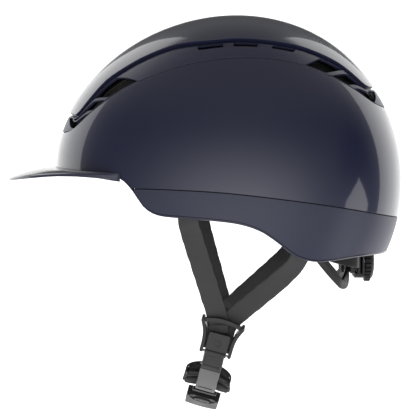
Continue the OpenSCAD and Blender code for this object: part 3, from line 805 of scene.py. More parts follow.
MATERIALS = {
    "gloss": gloss_shell(), "satin": satin_shell(), "visor": satin_visor(), "trim": edge_trim(),
    "nylon": black_nylon(), "charcoal": black_nylon("charcoal_nylon", CHARCOAL, 0.38, 0.7),
    "grey_nylon": black_nylon("grey_nylon", (0.10, 0.10, 0.105), 0.4, 0.8),
    # The divider frame's satin nylon is black nylon painted lighter, standing in for light falling on
    # it, and a little smoother.
    "satin_nylon_painted_light": black_nylon("satin_nylon_painted_light", (0.021, 0.021, 0.022), 0.33, 0.6),
    "foam": moulded_foam(), "knit": knit(), "hooks": hook_tape(), "thread": thread(),
    "knit_edge": knit("knit_edge", (0.05, 0.05, 0.052), 1.7, 800),
    "fleece": knit("fleece", (0.011, 0.011, 0.0115), 2.3, 620),
    "webbing": webbing("webbing", WEBBING, 0.25),
    "webbing_grey": webbing("webbing_grey", WEBBING_GREY, 0.3),
    "rubber": grip_rubber(), "steel": plated_steel(), "acetal": acetal(), "wire": mesh_wire(),
}


def finish_piece(piece, body, slot, material, *replaced, soft=None):
    """Gives a piece its material and body, and hides the CAD nodes that it stands for. slot is not
    used.
    """
    piece.data.materials.clear()
    piece.data.materials.append(MATERIALS[material])
    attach(piece, body)
    if replaced:
        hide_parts(*replaced)


# ---------------------------------------------------------------- shells and vents

RING = [-180 + 1.5 * i for i in range(240)]
RIM_PSI = [psi_on(phi, RIM_LINE) for phi in RING]
SEAM_PSI = [psi_on(phi, RIM_LINE, SEAM_LINE) for phi in RING]
LOWER_COLS = [mix(-121, 121, i / 180) for i in range(181)]
SHELL_ROWS = [.03, .06, .1, .15, .2, .26, .32, .38, .44, .5, .56, .62, .68, .74, .8, .85, .9, .94]


def upper_shell():
    rows = [0, .004, .012] + SHELL_ROWS + [.965, .98, .988, .993]
    foot = [psi + 0.85 for psi in SEAM_PSI]

    def grid(t):
        return [[spot(phi, w, t, foot[i]) for i, phi in enumerate(RING)] for w in rows]

    shell = skin("upper_shell_gloss", grid(0), grid(SHELL_WALL), wrap=True)
    finish_piece(bevel(shell, 0.55), "helmet", "shell", "gloss", "upper_shell")


def lower_shell():
    rows = [0, .02, .06, .14, .26, .4, .55, .7, .82, .92, .97, 1]
    low = [psi_on(phi, RIM_LINE) + 0.9 for phi in LOWER_COLS]
    high = [psi_on(phi, SEAM_LINE) + 0.5 for phi in LOWER_COLS]

    def grid(t):
        return [[form(phi, mix(low[i], max(high[i], low[i] + 0.4), u), t)
                 for i, phi in enumerate(LOWER_COLS)] for u in rows]

    shell = skin("lower_shell_satin", grid(0.1), grid(SHELL_WALL))
    finish_piece(bevel(shell, 0.45), "helmet", "shell_satin", "satin", "lower_shell")


def seam_gasket():
    """The black seal between the two shells."""
    seam = [psi_on(phi, SEAM_LINE) for phi in LOWER_COLS]

    def grid(t):
        return [[form(phi, seam[i] + rise, t) for i, phi in enumerate(LOWER_COLS)]
                for rise in (0.52, 0.68, 0.84)]

    seal = skin("seam_gasket", grid(1.1), grid(2.3))
    finish_piece(outward(seal), "helmet", "trim", "rubber")


def rim_trim():
    """A rolled edging whose lower edge is a round lip."""
    profile = [(0.85, 0.15), (0.75, -0.05), (0.45, -0.15), (0.12, 0.05), (-0.02, 0.6), (-0.02, 1.6),
               (0.12, 2.3), (0.45, 2.6), (0.8, 2.5)]
    points, faces = [], []
    for i, phi in enumerate(RING):
        points += [form(phi, RIM_PSI[i] + rise, t) for rise, t in profile]
    n = len(profile)
    for i in range(len(RING)):
        j = (i + 1) % len(RING)
        for k in range(n):
            m = (k + 1) % n
            faces.append((i * n + k, j * n + k, j * n + m, i * n + m))
    trim = outward(mesh_piece("edge_trim_band", points, faces))
    finish_piece(trim, "helmet", "trim", "trim", "rim_trim")


def vent_depth(w):
    """How deep the channel's floor lies: a groove at the seam, the window strip and a step down
    under the crown panel."""
    return curve([(-0.06, 3.1), (0.016, 2.7), (0.036, 0.6), (0.05, 0.5), (0.1, 0.5), (0.4, 0.62),
                  (0.7, 0.8), (0.84, 1.0), (0.88, 1.7), (0.93, 2.7), (1.1, 3.3)], w)


VENT_SCALE_U = 1.7
VENT_SCALE_V = 20.0


def vent_window(first, last, side, rows, r):
    """The rounded outline of a window, in the channel's unrolled plan."""
    corners = rectangle(side * first * VENT_SCALE_U, rows[0] * VENT_SCALE_V,
                        side * last * VENT_SCALE_U, rows[1] * VENT_SCALE_V)
    return dense(rounded(corners, r), 1.2)


def vent_frame():
    ends = 180 * VENT_SCALE_U
    low, high = -0.005 * VENT_SCALE_V, 1.09 * VENT_SCALE_V
    sides = [mix(low, high, i / 12) for i in range(13)]
    outline = ([(mix(-ends, ends, i / 300), low) for i in range(300)] + [(ends, v) for v in sides]
               + [(mix(ends, -ends, i / 300), high) for i in range(1, 300)]
               + [(-ends, v) for v in reversed(sides)])
    outline = [p for i, p in enumerate(outline) if math.dist(p, outline[i - 1]) > 1e-6]
    windows = [vent_window(a, b, side, WINDOW_ROWS, 0.9)
               for side in (-1, 1) for a, b in FRONT_WINDOWS + REAR_WINDOWS]
    windows += [vent_window(a, b, side, SLOT_ROWS, 0.7) for side in (-1, 1) for a, b in SLOTS]

    def place(u, v, height):
        w = v / VENT_SCALE_V
        return spot(u / VENT_SCALE_U, 1 + w, vent_depth(w) + (1 - height) * FRAME_WALL)

    vents = relief("vent_channel", outline, [(loop, None) for loop in windows], 0.0, place,
                   fill=2.3, clear=1.0, seam=(-ends, ends))
    finish_piece(bevel(vents, 0.3, 2), "helmet", "shell_satin", "satin", "vent_frame")


def crown_panel():
    rows = [.001, .012] + SHELL_ROWS + [.97]
    outer = [[spot(phi, 2, t) for phi in RING] for t in (4.0, 2.4, 0.9)]
    outer += [[spot(phi, 2 + w, -PANEL_PROUD) for phi in RING] for w in rows]
    inner = [[spot(phi, w, t) for phi in RING] for w, t in ((2.01, 4.0), (2.012, 3.6), (2.014, 2.6))]
    inner += [[spot(phi, 2 + max(w, 0.016), 2.2) for phi in RING] for w in rows]
    panel = skin("crown_panel_gloss", outer, inner, wrap=True,
                 poles=[form(0, 90, -PANEL_PROUD), form(0, 90, 2.2)])
    finish_piece(bevel(panel, 0.8, 4, 50), "helmet", "shell", "gloss", "crown_panel")


def insect_mesh(side, name):
    """Woven wires behind the front windows, in a thin frame."""
    depth = CHANNEL_DEPTH + FRAME_WALL + GAP + 0.3
    cols, rows = 46, 16

    def at(c, r, extra=0.0):
        return spot(side * mix(121.5, 157, c / cols), 1 + mix(0.0, 0.8, r / rows), depth + extra)

    hexagon = [(0.5 * cos_d(a), 0.5 * sin_d(a)) for a in range(0, 360, 60)]

    def wire(line, wide=0.32, thick=0.32):
        return swept("wire", [(p, (0, 0, 1), wide, thick) for p in line], hexagon)

    wires = [wire([at(c, r / 2, 0.12 * (-1) ** (c + r // 2)) for r in range(2 * rows + 1)])
             for c in range(cols + 1)]
    wires += [wire([at(c / 2, r, -0.12 * (-1) ** (r + c // 2)) for c in range(2 * cols + 1)])
              for r in range(rows + 1)]
    border = ([at(c, 0) for c in range(0, cols + 1, 2)] + [at(cols, rows)]
              + [at(c, rows) for c in range(cols - 2, -1, -2)] + [at(0, 0)])
    wires.append(wire(border, 1.0, 0.5))
    mesh = shade_smooth(joined("insect_mesh_wires_" + name, wires))
    finish_piece(mesh, "helmet", "mesh", "wire", "insect_mesh_" + name)


VISOR_X = -78
VISOR_HALF = 89
# Height of the visor's edge, by the angle round from its tip
VISOR_EDGE = [(0, 8.3), (30, 9.9), (50, 12), (65, 13), (78, 12.2), (90, 10.9)]


def visor():
    """A thin peak from the brow to a plan edge that is half an ellipse, with thicker ends."""
    turns = [mix(-90, 90, i / 96) for i in range(97)]
    depths = [0, 0.02, 0.06] + [i / 24 for i in range(2, 23)] + [0.94, 0.975, 1]
    reach = VISOR_REACH + VISOR_X - 2

    def root(a):
        z = mix(17.4, 12, (1 - cos_d(a)) ** 1.2)
        psi = math.degrees(math.asin((z - SHELL_Z - DROOP) / CROWN_HEIGHT))
        return form(180 - a * 54.6 / 90, psi, -0.5)

    def edge(a):
        return Vector((VISOR_X - 2 - reach * cos_d(a), VISOR_HALF * sin_d(a),
                       curve(VISOR_EDGE, abs(a))))

    roots, edges = [root(a) for a in turns], [edge(a) for a in turns]

    def grid(up):
        rows = []
        for u in depths:
            row = []
            for a, p, q in zip(turns, roots, edges):
                ends = smooth((abs(a) - 66) / 22)
                half = mix(1.75, 1.05, u) * (1 + 0.35 * ends)
                # The top surface falls away in its last millimetres, so the edge looks thin
                thin = 0.35 * (1 - ends) * smooth((u - 0.93) / 0.07) if up > 0 else 0
                row.append(p.lerp(q, u) + Vector((0, 0, 1.6 * sin_d(180 * u) + up * (half - thin))))
            rows.append(row)
        return rows

    peak = outward(skin("visor_peak", grid(1), grid(-1)))
    finish_piece(bevel(peak, 0.75, 4, 50), "helmet", "shell_satin", "visor", "visor")


# ---------------------------------------------------------------- liner

FOAM_OUT = SHELL_WALL + 0.8
FOAM_DEEP = CHANNEL_DEPTH + FRAME_WALL + 0.5 + 1.3
FOAM_IN = (FOAM_OUT + FOAM_ENDS, FOAM_OUT + FOAM_SIDES, FOAM_OUT + FOAM_CROWN + 3.8)
STRAP_BAYS = [(57, 73), (97, 113)]
BAY_DEPTH = 7.5
NOTCH = (40, 60)
PAD_GAP = 2.6


def deeper(offsets, t):
    return tuple(v + t for v in offsets)


def within(phi, spans):
    return any(a < abs(phi) < b for a, b in spans)


def foam_columns():
    """Azimuths with a column at every window's edge."""
    marks = sorted({0, 180} | {v for span in FRONT_WINDOWS + REAR_WINDOWS + STRAP_BAYS for v in span}
                   | {v + s for span in STRAP_BAYS for v in span for s in (-0.6, 0.6)})
    half = []
    for a, b in zip(marks, marks[1:]):
        parts = max(1, round((b - a) / 2.2))
        half += [mix(a, b, k / parts) for k in range(parts)]
    half.append(180)
    return [-a for a in reversed(half)] + half[1:-1]


def foam_liner():
    band = [0, .015, .05, .12, .2, .3, .4, .5, .585, .6, .68, .78, .88, .96]
    floor = [1.0, 1.04, 1.08, 1.2, 1.33, 1.46, 1.6, 1.72, 1.86, 2, 2.08, 2.16, 2.25, 2.35, 2.45,
             2.55, 2.65, 2.75, 2.85, 2.93]
    rows = band + floor
    cols = foam_columns()
    foot = []
    for phi in cols:
        rim = psi_on(phi, RIM_LINE) + 2
        foot.append(mix(rim, max(rim, -20), smooth((NOTCH[1] - abs(phi)) / (NOTCH[1] - NOTCH[0]))))

    def depth(phi, w):
        if w >= 1:
            return FOAM_DEEP
        return BAY_DEPTH if w < 0.59 and within(phi, STRAP_BAYS) else FOAM_OUT

    def air_channel(phi, w):
        """Shallow grooves that lead the air over the head, fore and aft."""
        if w < 1.5 or w > 2.9:
            return 0
        p = spot(phi, w, FOAM_IN, 0)
        rib = abs((p.y / 17.0) % 2 - 1)
        return 2.2 * smooth((0.42 - abs(rib - 0.5)) / 0.16) * smooth((w - 1.5) / 0.3) \
            * smooth((2.9 - w) / 0.15)

    outer = [[spot(phi, w, depth(phi, w), foot[i]) for i, phi in enumerate(cols)] for w in rows]
    inner = [[spot(phi, w, deeper(FOAM_IN, -air_channel(phi, w)), foot[i])
              for i, phi in enumerate(cols)] for w in rows]
    first, last = rows.index(1.08), rows.index(1.46)

    def keep(r, c):
        a = cols[c]
        b = cols[c + 1] if c + 1 < len(cols) else 180
        return not (first <= r < last and within((a + b) / 2, FRONT_WINDOWS + REAR_WINDOWS))

    liner = skin("foam_liner_moulding", outer, inner, wrap=True, keep=keep,
                 poles=[form(0, 90, FOAM_DEEP), form(0, 90, FOAM_IN)])
    finish_piece(bevel(liner, 1.6, 3, 40), "helmet", "foam", "foam", "foam_liner", soft=1.0)


class Path:
    """A smooth route through rows of (x, y, z, across x, across y, across z)."""

    def __init__(self, points, step):
        rows = through(points, step)
        self.centres = [Vector(row[:3]) for row in rows]
        self.marks = [0.0]
        for a, b in zip(self.centres, self.centres[1:]):
            self.marks.append(self.marks[-1] + (b - a).length)
        self.length = self.marks[-1]
        self.sides, self.ups = [], []
        last = len(rows) - 1
        for i, row in enumerate(rows):
            along = (self.centres[min(i + 1, last)] - self.centres[max(i - 1, 0)]).normalized()
            across = Vector(row[3:6])
            side = (across - along * across.dot(along)).normalized()
            self.sides.append(side)
            self.ups.append(along.cross(side))

    def at(self, q):
        """The centre, the direction across and the direction outwards at a length along it."""
        i = int(np.clip(np.searchsorted(self.marks, q) - 1, 0, len(self.marks) - 2))
        u = (q - self.marks[i]) / (self.marks[i + 1] - self.marks[i])
        held = clamp(u)
        return (self.centres[i] + (self.centres[i + 1] - self.centres[i]) * u,
                self.sides[i].lerp(self.sides[i + 1], held),
                self.ups[i].lerp(self.ups[i + 1], held))

    def place(self, q, w, h):
        centre, side, up = self.at(q)
        return centre + side * w + up * h

    def stations(self, step, first=0.0, last=None):
        last = self.length if last is None else last
        count = max(2, math.ceil((last - first) / step))
        return [mix(first, last, i / count) for i in range(count + 1)]


def mirrored(piece, name):
    """A copy on the other side of the helmet."""
    mesh = piece.data.copy()
    mesh.transform(Matrix.Scale(-1, 4, (0, 1, 0)))
    mesh.flip_normals()
    copy = add_object(name, mesh)
    for modifier in piece.modifiers:
        made = copy.modifiers.new(modifier.name, modifier.type)
        for prop in modifier.bl_rna.properties:
            if not prop.is_readonly and prop.identifier not in ("name", "type"):
                setattr(made, prop.identifier, getattr(modifier, prop.identifier))
    return copy


# ---------------------------------------------------------------- pads

CLOTH_FRAMES = 16
CLOTH_PRESSURE = 4.0


def inflate(piece, voxel, cap):
    """Swells a closed mesh as its stuffed cover does, by cloth with pressure, and no further
    than a cap."""
    remesh = piece.modifiers.new("remesh", "REMESH")
    remesh.mode = "VOXEL"
    remesh.voxel_size = voxel * MM
    apply_modifiers(piece)
    mesh = piece.data
    rest = np.empty(len(mesh.vertices) * 3)
    mesh.vertices.foreach_get("co", rest)
    rest = rest.reshape(-1, 3)
    cloth = piece.modifiers.new("cloth", "CLOTH")
    settings = cloth.settings
    settings.quality = 6
    settings.mass = 0.15
    settings.tension_stiffness = 12
    settings.compression_stiffness = 6
    settings.shear_stiffness = 4
    settings.bending_stiffness = 0.25
    settings.use_pressure = True
    settings.uniform_pressure_force = CLOTH_PRESSURE
    settings.effector_weights.gravity = 0
    cloth.point_cache.frame_start = 1
    cloth.point_cache.frame_end = CLOTH_FRAMES
    for number in range(1, CLOTH_FRAMES + 1):
        bpy.context.scene.frame_set(number)
    graph = bpy.context.evaluated_depsgraph_get()
    swollen = piece.evaluated_get(graph).to_mesh()
    moved = np.empty(len(swollen.vertices) * 3)
    swollen.vertices.foreach_get("co", moved)
    moved = moved.reshape(-1, 3)
    piece.evaluated_get(graph).to_mesh_clear()
    piece.modifiers.clear()
    bpy.context.scene.frame_set(1)
    shift = moved - rest
    size = np.linalg.norm(shift, axis=1, keepdims=True)
    limit = cap * MM
    shift *= np.where(size > limit, limit / np.maximum(size, 1e-12), 1.0)
    mesh.vertices.foreach_set("co", (rest + shift).ravel())
    mesh.update()
    return shade_smooth(piece)


def press_seams(piece, depth_at):
    """Presses sewn channels into a pad: depth_at(point in mm, normal) is how far."""
    mesh = piece.data
    moved = [v.co - v.normal * depth_at(v.co / MM, v.normal) * MM for v in mesh.vertices]
    for vertex, co in zip(mesh.vertices, moved):
        vertex.co = co
    mesh.update()


def piping(name, points, r):
    """A sewn cord edge along a closed loop of points."""
    ring = through(list(points) + [points[0]], 2.0)[:-1]
    n = len(ROUND)

    def close(mesh):
        mesh.verts.ensure_lookup_table()
        last = (len(ring) - 1) * n
        offset = min(range(n), key=lambda k: (mesh.verts[last].co - mesh.verts[k].co).length)
        for k in range(n):
            quad = [mesh.verts[last + k], mesh.verts[last + (k + 1) % n],
                    mesh.verts[(offset + k + 1) % n], mesh.verts[(offset + k) % n]]
            mesh.faces.new(quad).smooth = True

    return outward(edit_mesh(cord(name, [tuple(p) for p in ring], r, closed_ends=False), close))


def stuffed(name, outline, place, low, high, voxel=2.4, swell=1.1, seams=None, fill=3.0):
    """A pad between two heights of a mapping, inflated, with sewn channels and one subdivision."""
    pad = relief(name, dense(outline, fill), [], low, place, high=high, fill=fill)
    inflate(pad, voxel, swell)
    if seams:
        press_seams(pad, seams)
    return subdivide(pad)


PAD_SCALE = 1.35
# Heights above the foam: of a pad's two faces before it is stuffed, and of its binding
PAD_HEIGHTS = (PAD_GAP + 0.7, PAD_GAP + PAD_WALL - 0.9)
BINDING_HEIGHT = PAD_GAP + 2.2


def pad_plan(phis, psis, inset, r):
    """The outline of a pad between two azimuths and two elevations."""
    corners = rectangle(phis[0] + inset, psis[0] + inset, phis[1] - inset, psis[1] - inset)
    return rounded([(u * PAD_SCALE, v * PAD_SCALE) for u, v in corners], r)


def on_liner(u, v, h):
    """A point of a pad by azimuth, elevation and height above the foam."""
    return form(u / PAD_SCALE, v / PAD_SCALE, deeper(FOAM_IN, h))


def liner_pad(base, side, phis, psis, seam_phis):
    """A sewn pad on the foam, bound with a cord."""
    def seams(p, n):
        azimuth = math.degrees(math.atan2(p.y, p.x - SHELL_X)) % 360
        gap = min(abs(azimuth - s) for s in seam_phis) * 1.3
        centre = Vector((SHELL_X, 0, p.z))
        facing = clamp((centre - p).normalized().dot(n))
        return 1.5 * math.exp(-(gap / 1.5) ** 2) * smooth(facing * 1.5)

    pad = stuffed(base + "_knit" + side, pad_plan(phis, psis, 1.0, 9), on_liner, *PAD_HEIGHTS,
                  seams=seams)
    finish_piece(pad, "helmet", "liner_fabric", "knit", base + side, soft=0.6)
    edge = [on_liner(u, v, BINDING_HEIGHT) for u, v in dense(pad_plan(phis, psis, 0.4, 10), 4)]
    finish_piece(piping(base + "_binding" + side, edge, 0.75), "helmet", "liner_fabric", "knit_edge")


def brow_pad():
    liner_pad("brow_pad", "", (128, 232), (3, 23), [146, 163, 180, 197, 214])


def side_pads():
    for side, low, high in (("_left", 248, 290), ("_right", 70, 112)):
        middle = (low + high) / 2
        liner_pad("side_pad", side, (low, high), (2, 26), [middle - 8, middle + 8])


def crown_pad():
    """A scalloped dome pad with six sewn channels."""
    def place(u, v, h):
        phi = math.degrees(math.atan2(v, u))
        return form(phi, 90 - math.hypot(u, v) / PAD_SCALE, deeper(FOAM_IN, h))

    def plan(r, step):
        edge = [(a, r * (1 - 0.09 * (0.5 + 0.5 * cos_d(6 * a)) ** 3)) for a in range(0, 360, step)]
        return [(size * cos_d(a), size * sin_d(a)) for a, size in edge]

    reach = 37 * PAD_SCALE

    def seams(p, n):
        side = p - Vector((SHELL_X, 0, p.z))
        if side.length < 14:
            return 0
        a = math.degrees(math.atan2(side.y, side.x)) % 60
        gap = min(a, 60 - a) * math.pi / 180 * side.length
        facing = clamp(-n.z * 1.4)
        return 1.5 * math.exp(-(gap / 1.6) ** 2) * smooth(facing) * smooth((side.length - 14) / 8)

    pad = stuffed("crown_pad_knit", plan(reach, 4), place, *PAD_HEIGHTS, seams=seams, voxel=2.8,
                  fill=3.5)
    finish_piece(pad, "helmet", "liner_fabric", "knit", "crown_pad", soft=0.6)
    binding = piping("crown_pad_binding",
                     [place(u, v, BINDING_HEIGHT) for u, v in plan(reach + 0.6, 5)], 0.75)
    finish_piece(binding, "helmet", "liner_fabric", "knit_edge")


def nape_pads():
    low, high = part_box("nape_pad")
    x_back, z_low, z_high = high[0] / MM, low[2] / MM, high[2] / MM
    outline = rounded(rectangle(-18.6, z_low + 0.6, -1.8, z_high - 0.6), 5)
    for name, side in (("left", 1), ("right", -1)):
        def place(u, v, h, side=side):
            return Vector((x_back - h, side * u, v))
        pad = stuffed("nape_pad_knit_" + name, outline, place, 0.4, 2.9, voxel=1.6, swell=0.7,
                      fill=2.5)
        replaced = ["nape_pad"] if side == 1 else []
        finish_piece(pad, "helmet", "liner_fabric", "knit", *replaced, soft=0.5)


# ---------------------------------------------------------------- webbing harness

DOWN = Vector((-sin_d(STRAP_TILT), 0, -cos_d(STRAP_TILT)))
ACROSS = Vector((cos_d(STRAP_TILT), 0, -sin_d(STRAP_TILT)))
LOOP_ORIGIN = Vector((-0.3, 0, -90))
# Left half of the loop: (length down it, y)
LOOP_LINE = [(0, -65), (20, -61), (36, -56.5), (55.2, -46.5), (68.2, -32), (76.7, -12)]
STRAP_T = SHELL_WALL + GAP + 0.7 + STRAP_WALL / 2
THREAD_R = 0.27


def loop_point(s, y):
    return LOOP_ORIGIN + DOWN * s + Vector((0, y, 0))


def on_loop(s, off=0.0):
    """A point of the strap loop's left half, moved outwards by off."""
    d = 0.5
    rise = (curve(LOOP_LINE, s + d) - curve(LOOP_LINE, s - d)) / (2 * d)
    n = Vector((rise, -1)).normalized()
    return loop_point(s + off * n.x, curve(LOOP_LINE, s) + off * n.y)


def loop_frame(s, y, lean):
    """Axes on the loop: x down the strap, y rearwards, z away from the head."""
    x = Vector((0, sin_d(lean), 0)) + DOWN * cos_d(lean)
    z = Vector((0, -cos_d(lean), 0)) + DOWN * sin_d(lean)
    return loop_point(s, y), x, ACROSS, z


DIVIDER = loop_frame(20.5, -60.8, 14)
BUCKLE = loop_frame(76.7, -12, 66)
PIN = (12.2, 0, 4.1)


def rod(name, points, r):
    """A round rod through points, with rounded ends."""
    points = [Vector(p) for p in points]
    first, last = (points[0] - points[1]).normalized(), (points[-1] - points[-2]).normalized()
    caps = [(points[0] + first * r * 0.85, 0.7 * r), (points[0] + first * r * 0.5, 1.7 * r)]
    tail = [(points[-1] + last * r * 0.5, 1.7 * r), (points[-1] + last * r * 0.85, 0.7 * r)]
    rows = caps + [(p, 2 * r) for p in points] + tail
    return swept(name, [(p, SKEW, d, d) for p, d in rows], ROUND)


def strap(name, rows, width, wall, wander=0.25, step=1.5):
    """A woven strap along rows of (centre, across), and its route. Its selvages wander."""
    path = Path([tuple(c) + tuple(a) for c, a in rows], step)
    stations = []
    for q in path.stations(step):
        centre, side, up = path.at(q)
        drift = wander * (0.6 * math.sin(q * 0.31 + 0.7) + 0.4 * math.sin(q * 0.83))
        wide = width + wander * math.sin(q * 0.47)
        lift = 0.12 * wander * math.sin(q * 0.55 + 1.1)
        stations.append((centre + side * drift * 0.4 + up * lift, side, wide, wall))
    return swept(name, stations, webbing_section(width, wall), uv=True), path


def stitches(path, marks, h):
    """Short stitches that lie on a strap: marks are (length, across, length, across)."""
    made = []
    for q1, w1, q2, w2 in marks:
        low, top = h - 0.12, h + 0.16
        points = [path.place(q1, w1, low), path.place(mix(q1, q2, 0.3), mix(w1, w2, 0.3), top),
                  path.place(mix(q1, q2, 0.7), mix(w1, w2, 0.7), top), path.place(q2, w2, low)]
        made.append(cord("stitch", points, THREAD_R))
    return made


def running_stitch(w, first, last):
    """Marks of a row of stitches down a strap."""
    length, pitch = 2.0, 2.9
    starts = [first + i * pitch for i in range(int((last - first) / pitch))]
    return [(q, w, q + length, w) for q in starts]


def bar_tack(q, half, rows=3, pitch=0.62):
    """Marks of a dense zigzag across a strap."""
    marks = []
    for k in range(rows):
        base = q + k * 2.0
        count = int(2 * half / pitch)
        marks += [(base, -half + i * pitch, base + 1.5, -half + (i + 0.5) * pitch)
                  for i in range(count)]
    return marks


def both_sides(piece, node, slot, material, bodies=("helmet", "helmet"), shared=False):
    """Finishes a left piece and makes its mirror image. node is the CAD node's name without
    its side, or None; shared means that the two stand for one node of that name."""
    right = mirrored(piece, piece.name + "_right")
    piece.name += "_left"
    for one, side, body in ((piece, "left", bodies[0]), (right, "right", bodies[1])):
        if shared:
            replaced = [node] if side == "left" else []
        else:
            replaced = [node + "_" + side] if node else []
        finish_piece(one, body, slot, material, *replaced)


def thread_piece(name, made):
    return shade_smooth(joined(name, made))


def shell_station(phi, psi):
    return form(phi, psi, STRAP_T), form(phi + 1, psi, STRAP_T) - form(phi - 1, psi, STRAP_T)


FRONT_PHI = -104.4
REAR_PHI = -66
divider_point = frame_place(DIVIDER)


def sewn_strap(name, route, tacks):
    """A side strap with stitches down both edges of its upper end."""
    wall = STRAP_WALL - 0.1
    piece, path = strap(name + "_web", route, STRAP_WIDTH, wall)
    both_sides(piece, name, "webbing", "webbing")
    edge = STRAP_WIDTH / 2 - 1.6
    rows = running_stitch(-edge, 2, 15) + running_stitch(edge, 2, 15) + tacks
    both_sides(thread_piece(name + "_thread", stitches(path, rows, wall / 2)), None, "webbing",
               "thread")


def side_straps():
    front = [shell_station(FRONT_PHI - 0.5, psi) for psi in (-1, -6, -11, -15)]
    front += [((-25.4, -92.3, -31), (0.95, 0, 0.27)), (divider_point(-16, -6.2, 0), (0.95, 0, 0.25)),
              (divider_point(-9, -3.4, -0.1), ACROSS), (divider_point(-2, -1.6, 0.0), ACROSS)]
    sewn_strap("strap_front", front, bar_tack(16, 5.4, rows=2))
    rear = [shell_station(REAR_PHI + 0.4, psi) for psi in (-12, -17, -22, -26)]
    rear += [((45, -79.2, -60), (0.55, 0.33, -0.6)),
             (divider_point(-17, 6.9, -2.9), (0.66, 0.12, -0.6)),
             (divider_point(-9, 3.4, -2.15), (0.85, 0.02, -0.4)),
             (divider_point(-2, 1.6, -1.8), ACROSS)]
    sewn_strap("strap_rear", rear, [])


def anchors():
    """Stamped plates with a folded rim that hold the straps, and domed rivets."""
    plates, rivets = [], []
    for phi, psi in ((FRONT_PHI, 4.6), (REAR_PHI, -6.4)):
        t = STRAP_T + 0.5
        o = form(phi, psi, t)
        n = form_normal(phi, psi, t)
        x = (form(phi + 0.5, psi, t) - form(phi - 0.5, psi, t)).normalized()
        axes = (o, x, n.cross(x), n)
        inner = rounded(rectangle(-7.8, -3.3, 7.8, 3.3), 1.4)
        hole = oval((0, 0), 2.55, 2.55, 24)
        plates.append(plate("plate", rounded(rectangle(-9, -4.5, 9, 4.5), 2),
                            [(inner, 0.35), (hole, None)], -0.8, 0.8, axes))
        head = [(0, -0.9), (2.5, -0.9), (2.5, -1.3), (4, -1.4), (3.7, -2.1), (2.6, -2.7), (1.2, -2.95),
                (0, -3)]
        shaft = [(0, 0.8), (2.4, 0.8), (2.4, -0.95), (0, -0.95)]
        rivets += [turned_solid("rivet", head, axes, 32), turned_solid("rivet", shaft, axes, 32)]
    both_sides(bevel(joined("strap_anchor_plates", plates), 0.25, 2), "strap_anchors", "steel",
               "steel", shared=True)
    both_sides(joined("strap_rivets", rivets), "anchor_rivets", "steel", "steel", shared=True)


def divider():
    """The moulded piece that brings two straps together: legs, an arched bar and a back plate."""
    leg = [(-12, 15.6), (-5, 12.6), (2, 11.3), (12.2, 11)]
    line = [(p[0], p[1]) for p in through([(x, y, 0) for x, y in leg], 1.2)]
    half = 1.25
    sides = []
    for i, p in enumerate(line):
        a, b = Vector(line[max(i - 1, 0)]), Vector(line[min(i + 1, len(line) - 1)])
        along = (b - a).normalized()
        sides.append((Vector(p), Vector((-along.y, along.x)), along))
    start, end = sides[0], sides[-1]
    outline = [tuple(p + n * half) for p, n, _ in sides]
    outline += [tuple(end[0] + end[1] * half * cos_d(a) + end[2] * half * sin_d(a))
                for a in range(30, 180, 30)]
    outline += [tuple(p - n * half) for p, n, _ in reversed(sides)]
    outline += [tuple(start[0] - start[1] * half * cos_d(a) - start[2] * half * sin_d(a))
                for a in range(30, 180, 30)]
    parts = [plate("leg", [(x, flip * y) for x, y in outline], [], -3.5, 5.5, DIVIDER)
             for flip in (1, -1)]
    reach = math.degrees(math.asin(15.8 / 40.1))
    ring = arc((26, 0), 41.6, 180 - reach, 180 + reach, 20) \
        + arc((26, 0), 38.6, 180 + reach, 180 - reach, 20)
    bar = plate("bar", ring, [], 1.35, 3.7, DIVIDER)
    ribs = [(rectangle(-6.5, y - 0.5, 12.5, y + 0.5), -2.85) for y in (-6, 0, 6)]
    back = plate("back", rounded(rectangle(-7, -10.4, 13, 10.4), 1.2), ribs, -3.9, -3.1, DIVIDER)
    frame_mesh = joined("divider_frame_moulding", parts + [bar, back])
    # Painted light: the frame's lighter nylon stands in for light falling on it.
    both_sides(bevel(frame_mesh, 0.8, 4, 50), "divider_frame", "black_plastic", "satin_nylon_painted_light")
    plan = rounded([(-3.8, -8.2, 1.8), (12.0, -8.2, 0.4), (12.0, 8.2, 0.4), (-3.8, 8.2, 1.8)], 1.8)
    dish = [(oval((4, 0), r, r, 40), h) for r, h in
            ((3.4, 4.72), (2.9, 4.55), (2.4, 4.35), (1.9, 4.22), (1.2, 4.15))]
    flap = plate("divider_flap_cover", plan, dish, 2.95, 4.8, DIVIDER)
    hub_axes = (divider_point(PIN[0], -8.2, PIN[2]), DIVIDER[3], DIVIDER[1], DIVIDER[2])
    hub = turned_solid("hub", [(0, 0), (1.75, 0), (1.85, 0.15), (1.85, 16.25), (1.75, 16.4),
                               (0, 16.4)], hub_axes, 32)
    flap = joined("divider_flap_cover", [flap, hub])
    both_sides(bevel(flap, 0.35, 3, 50), "divider_flap", "charcoal_plastic", "charcoal",
               bodies=("left_flap", "right_flap"))
    pin_axes = (divider_point(PIN[0], -12.4, PIN[2]), DIVIDER[3], DIVIDER[1], DIVIDER[2])
    pin = turned_solid("divider_hinge_pin", [(0, 0.2), (0.85, 0.2), (1, 0.4), (1, 24.4),
                                             (0.85, 24.6), (0, 24.6)], pin_axes, 24)
    both_sides(pin, "divider_pin", "steel", "steel")


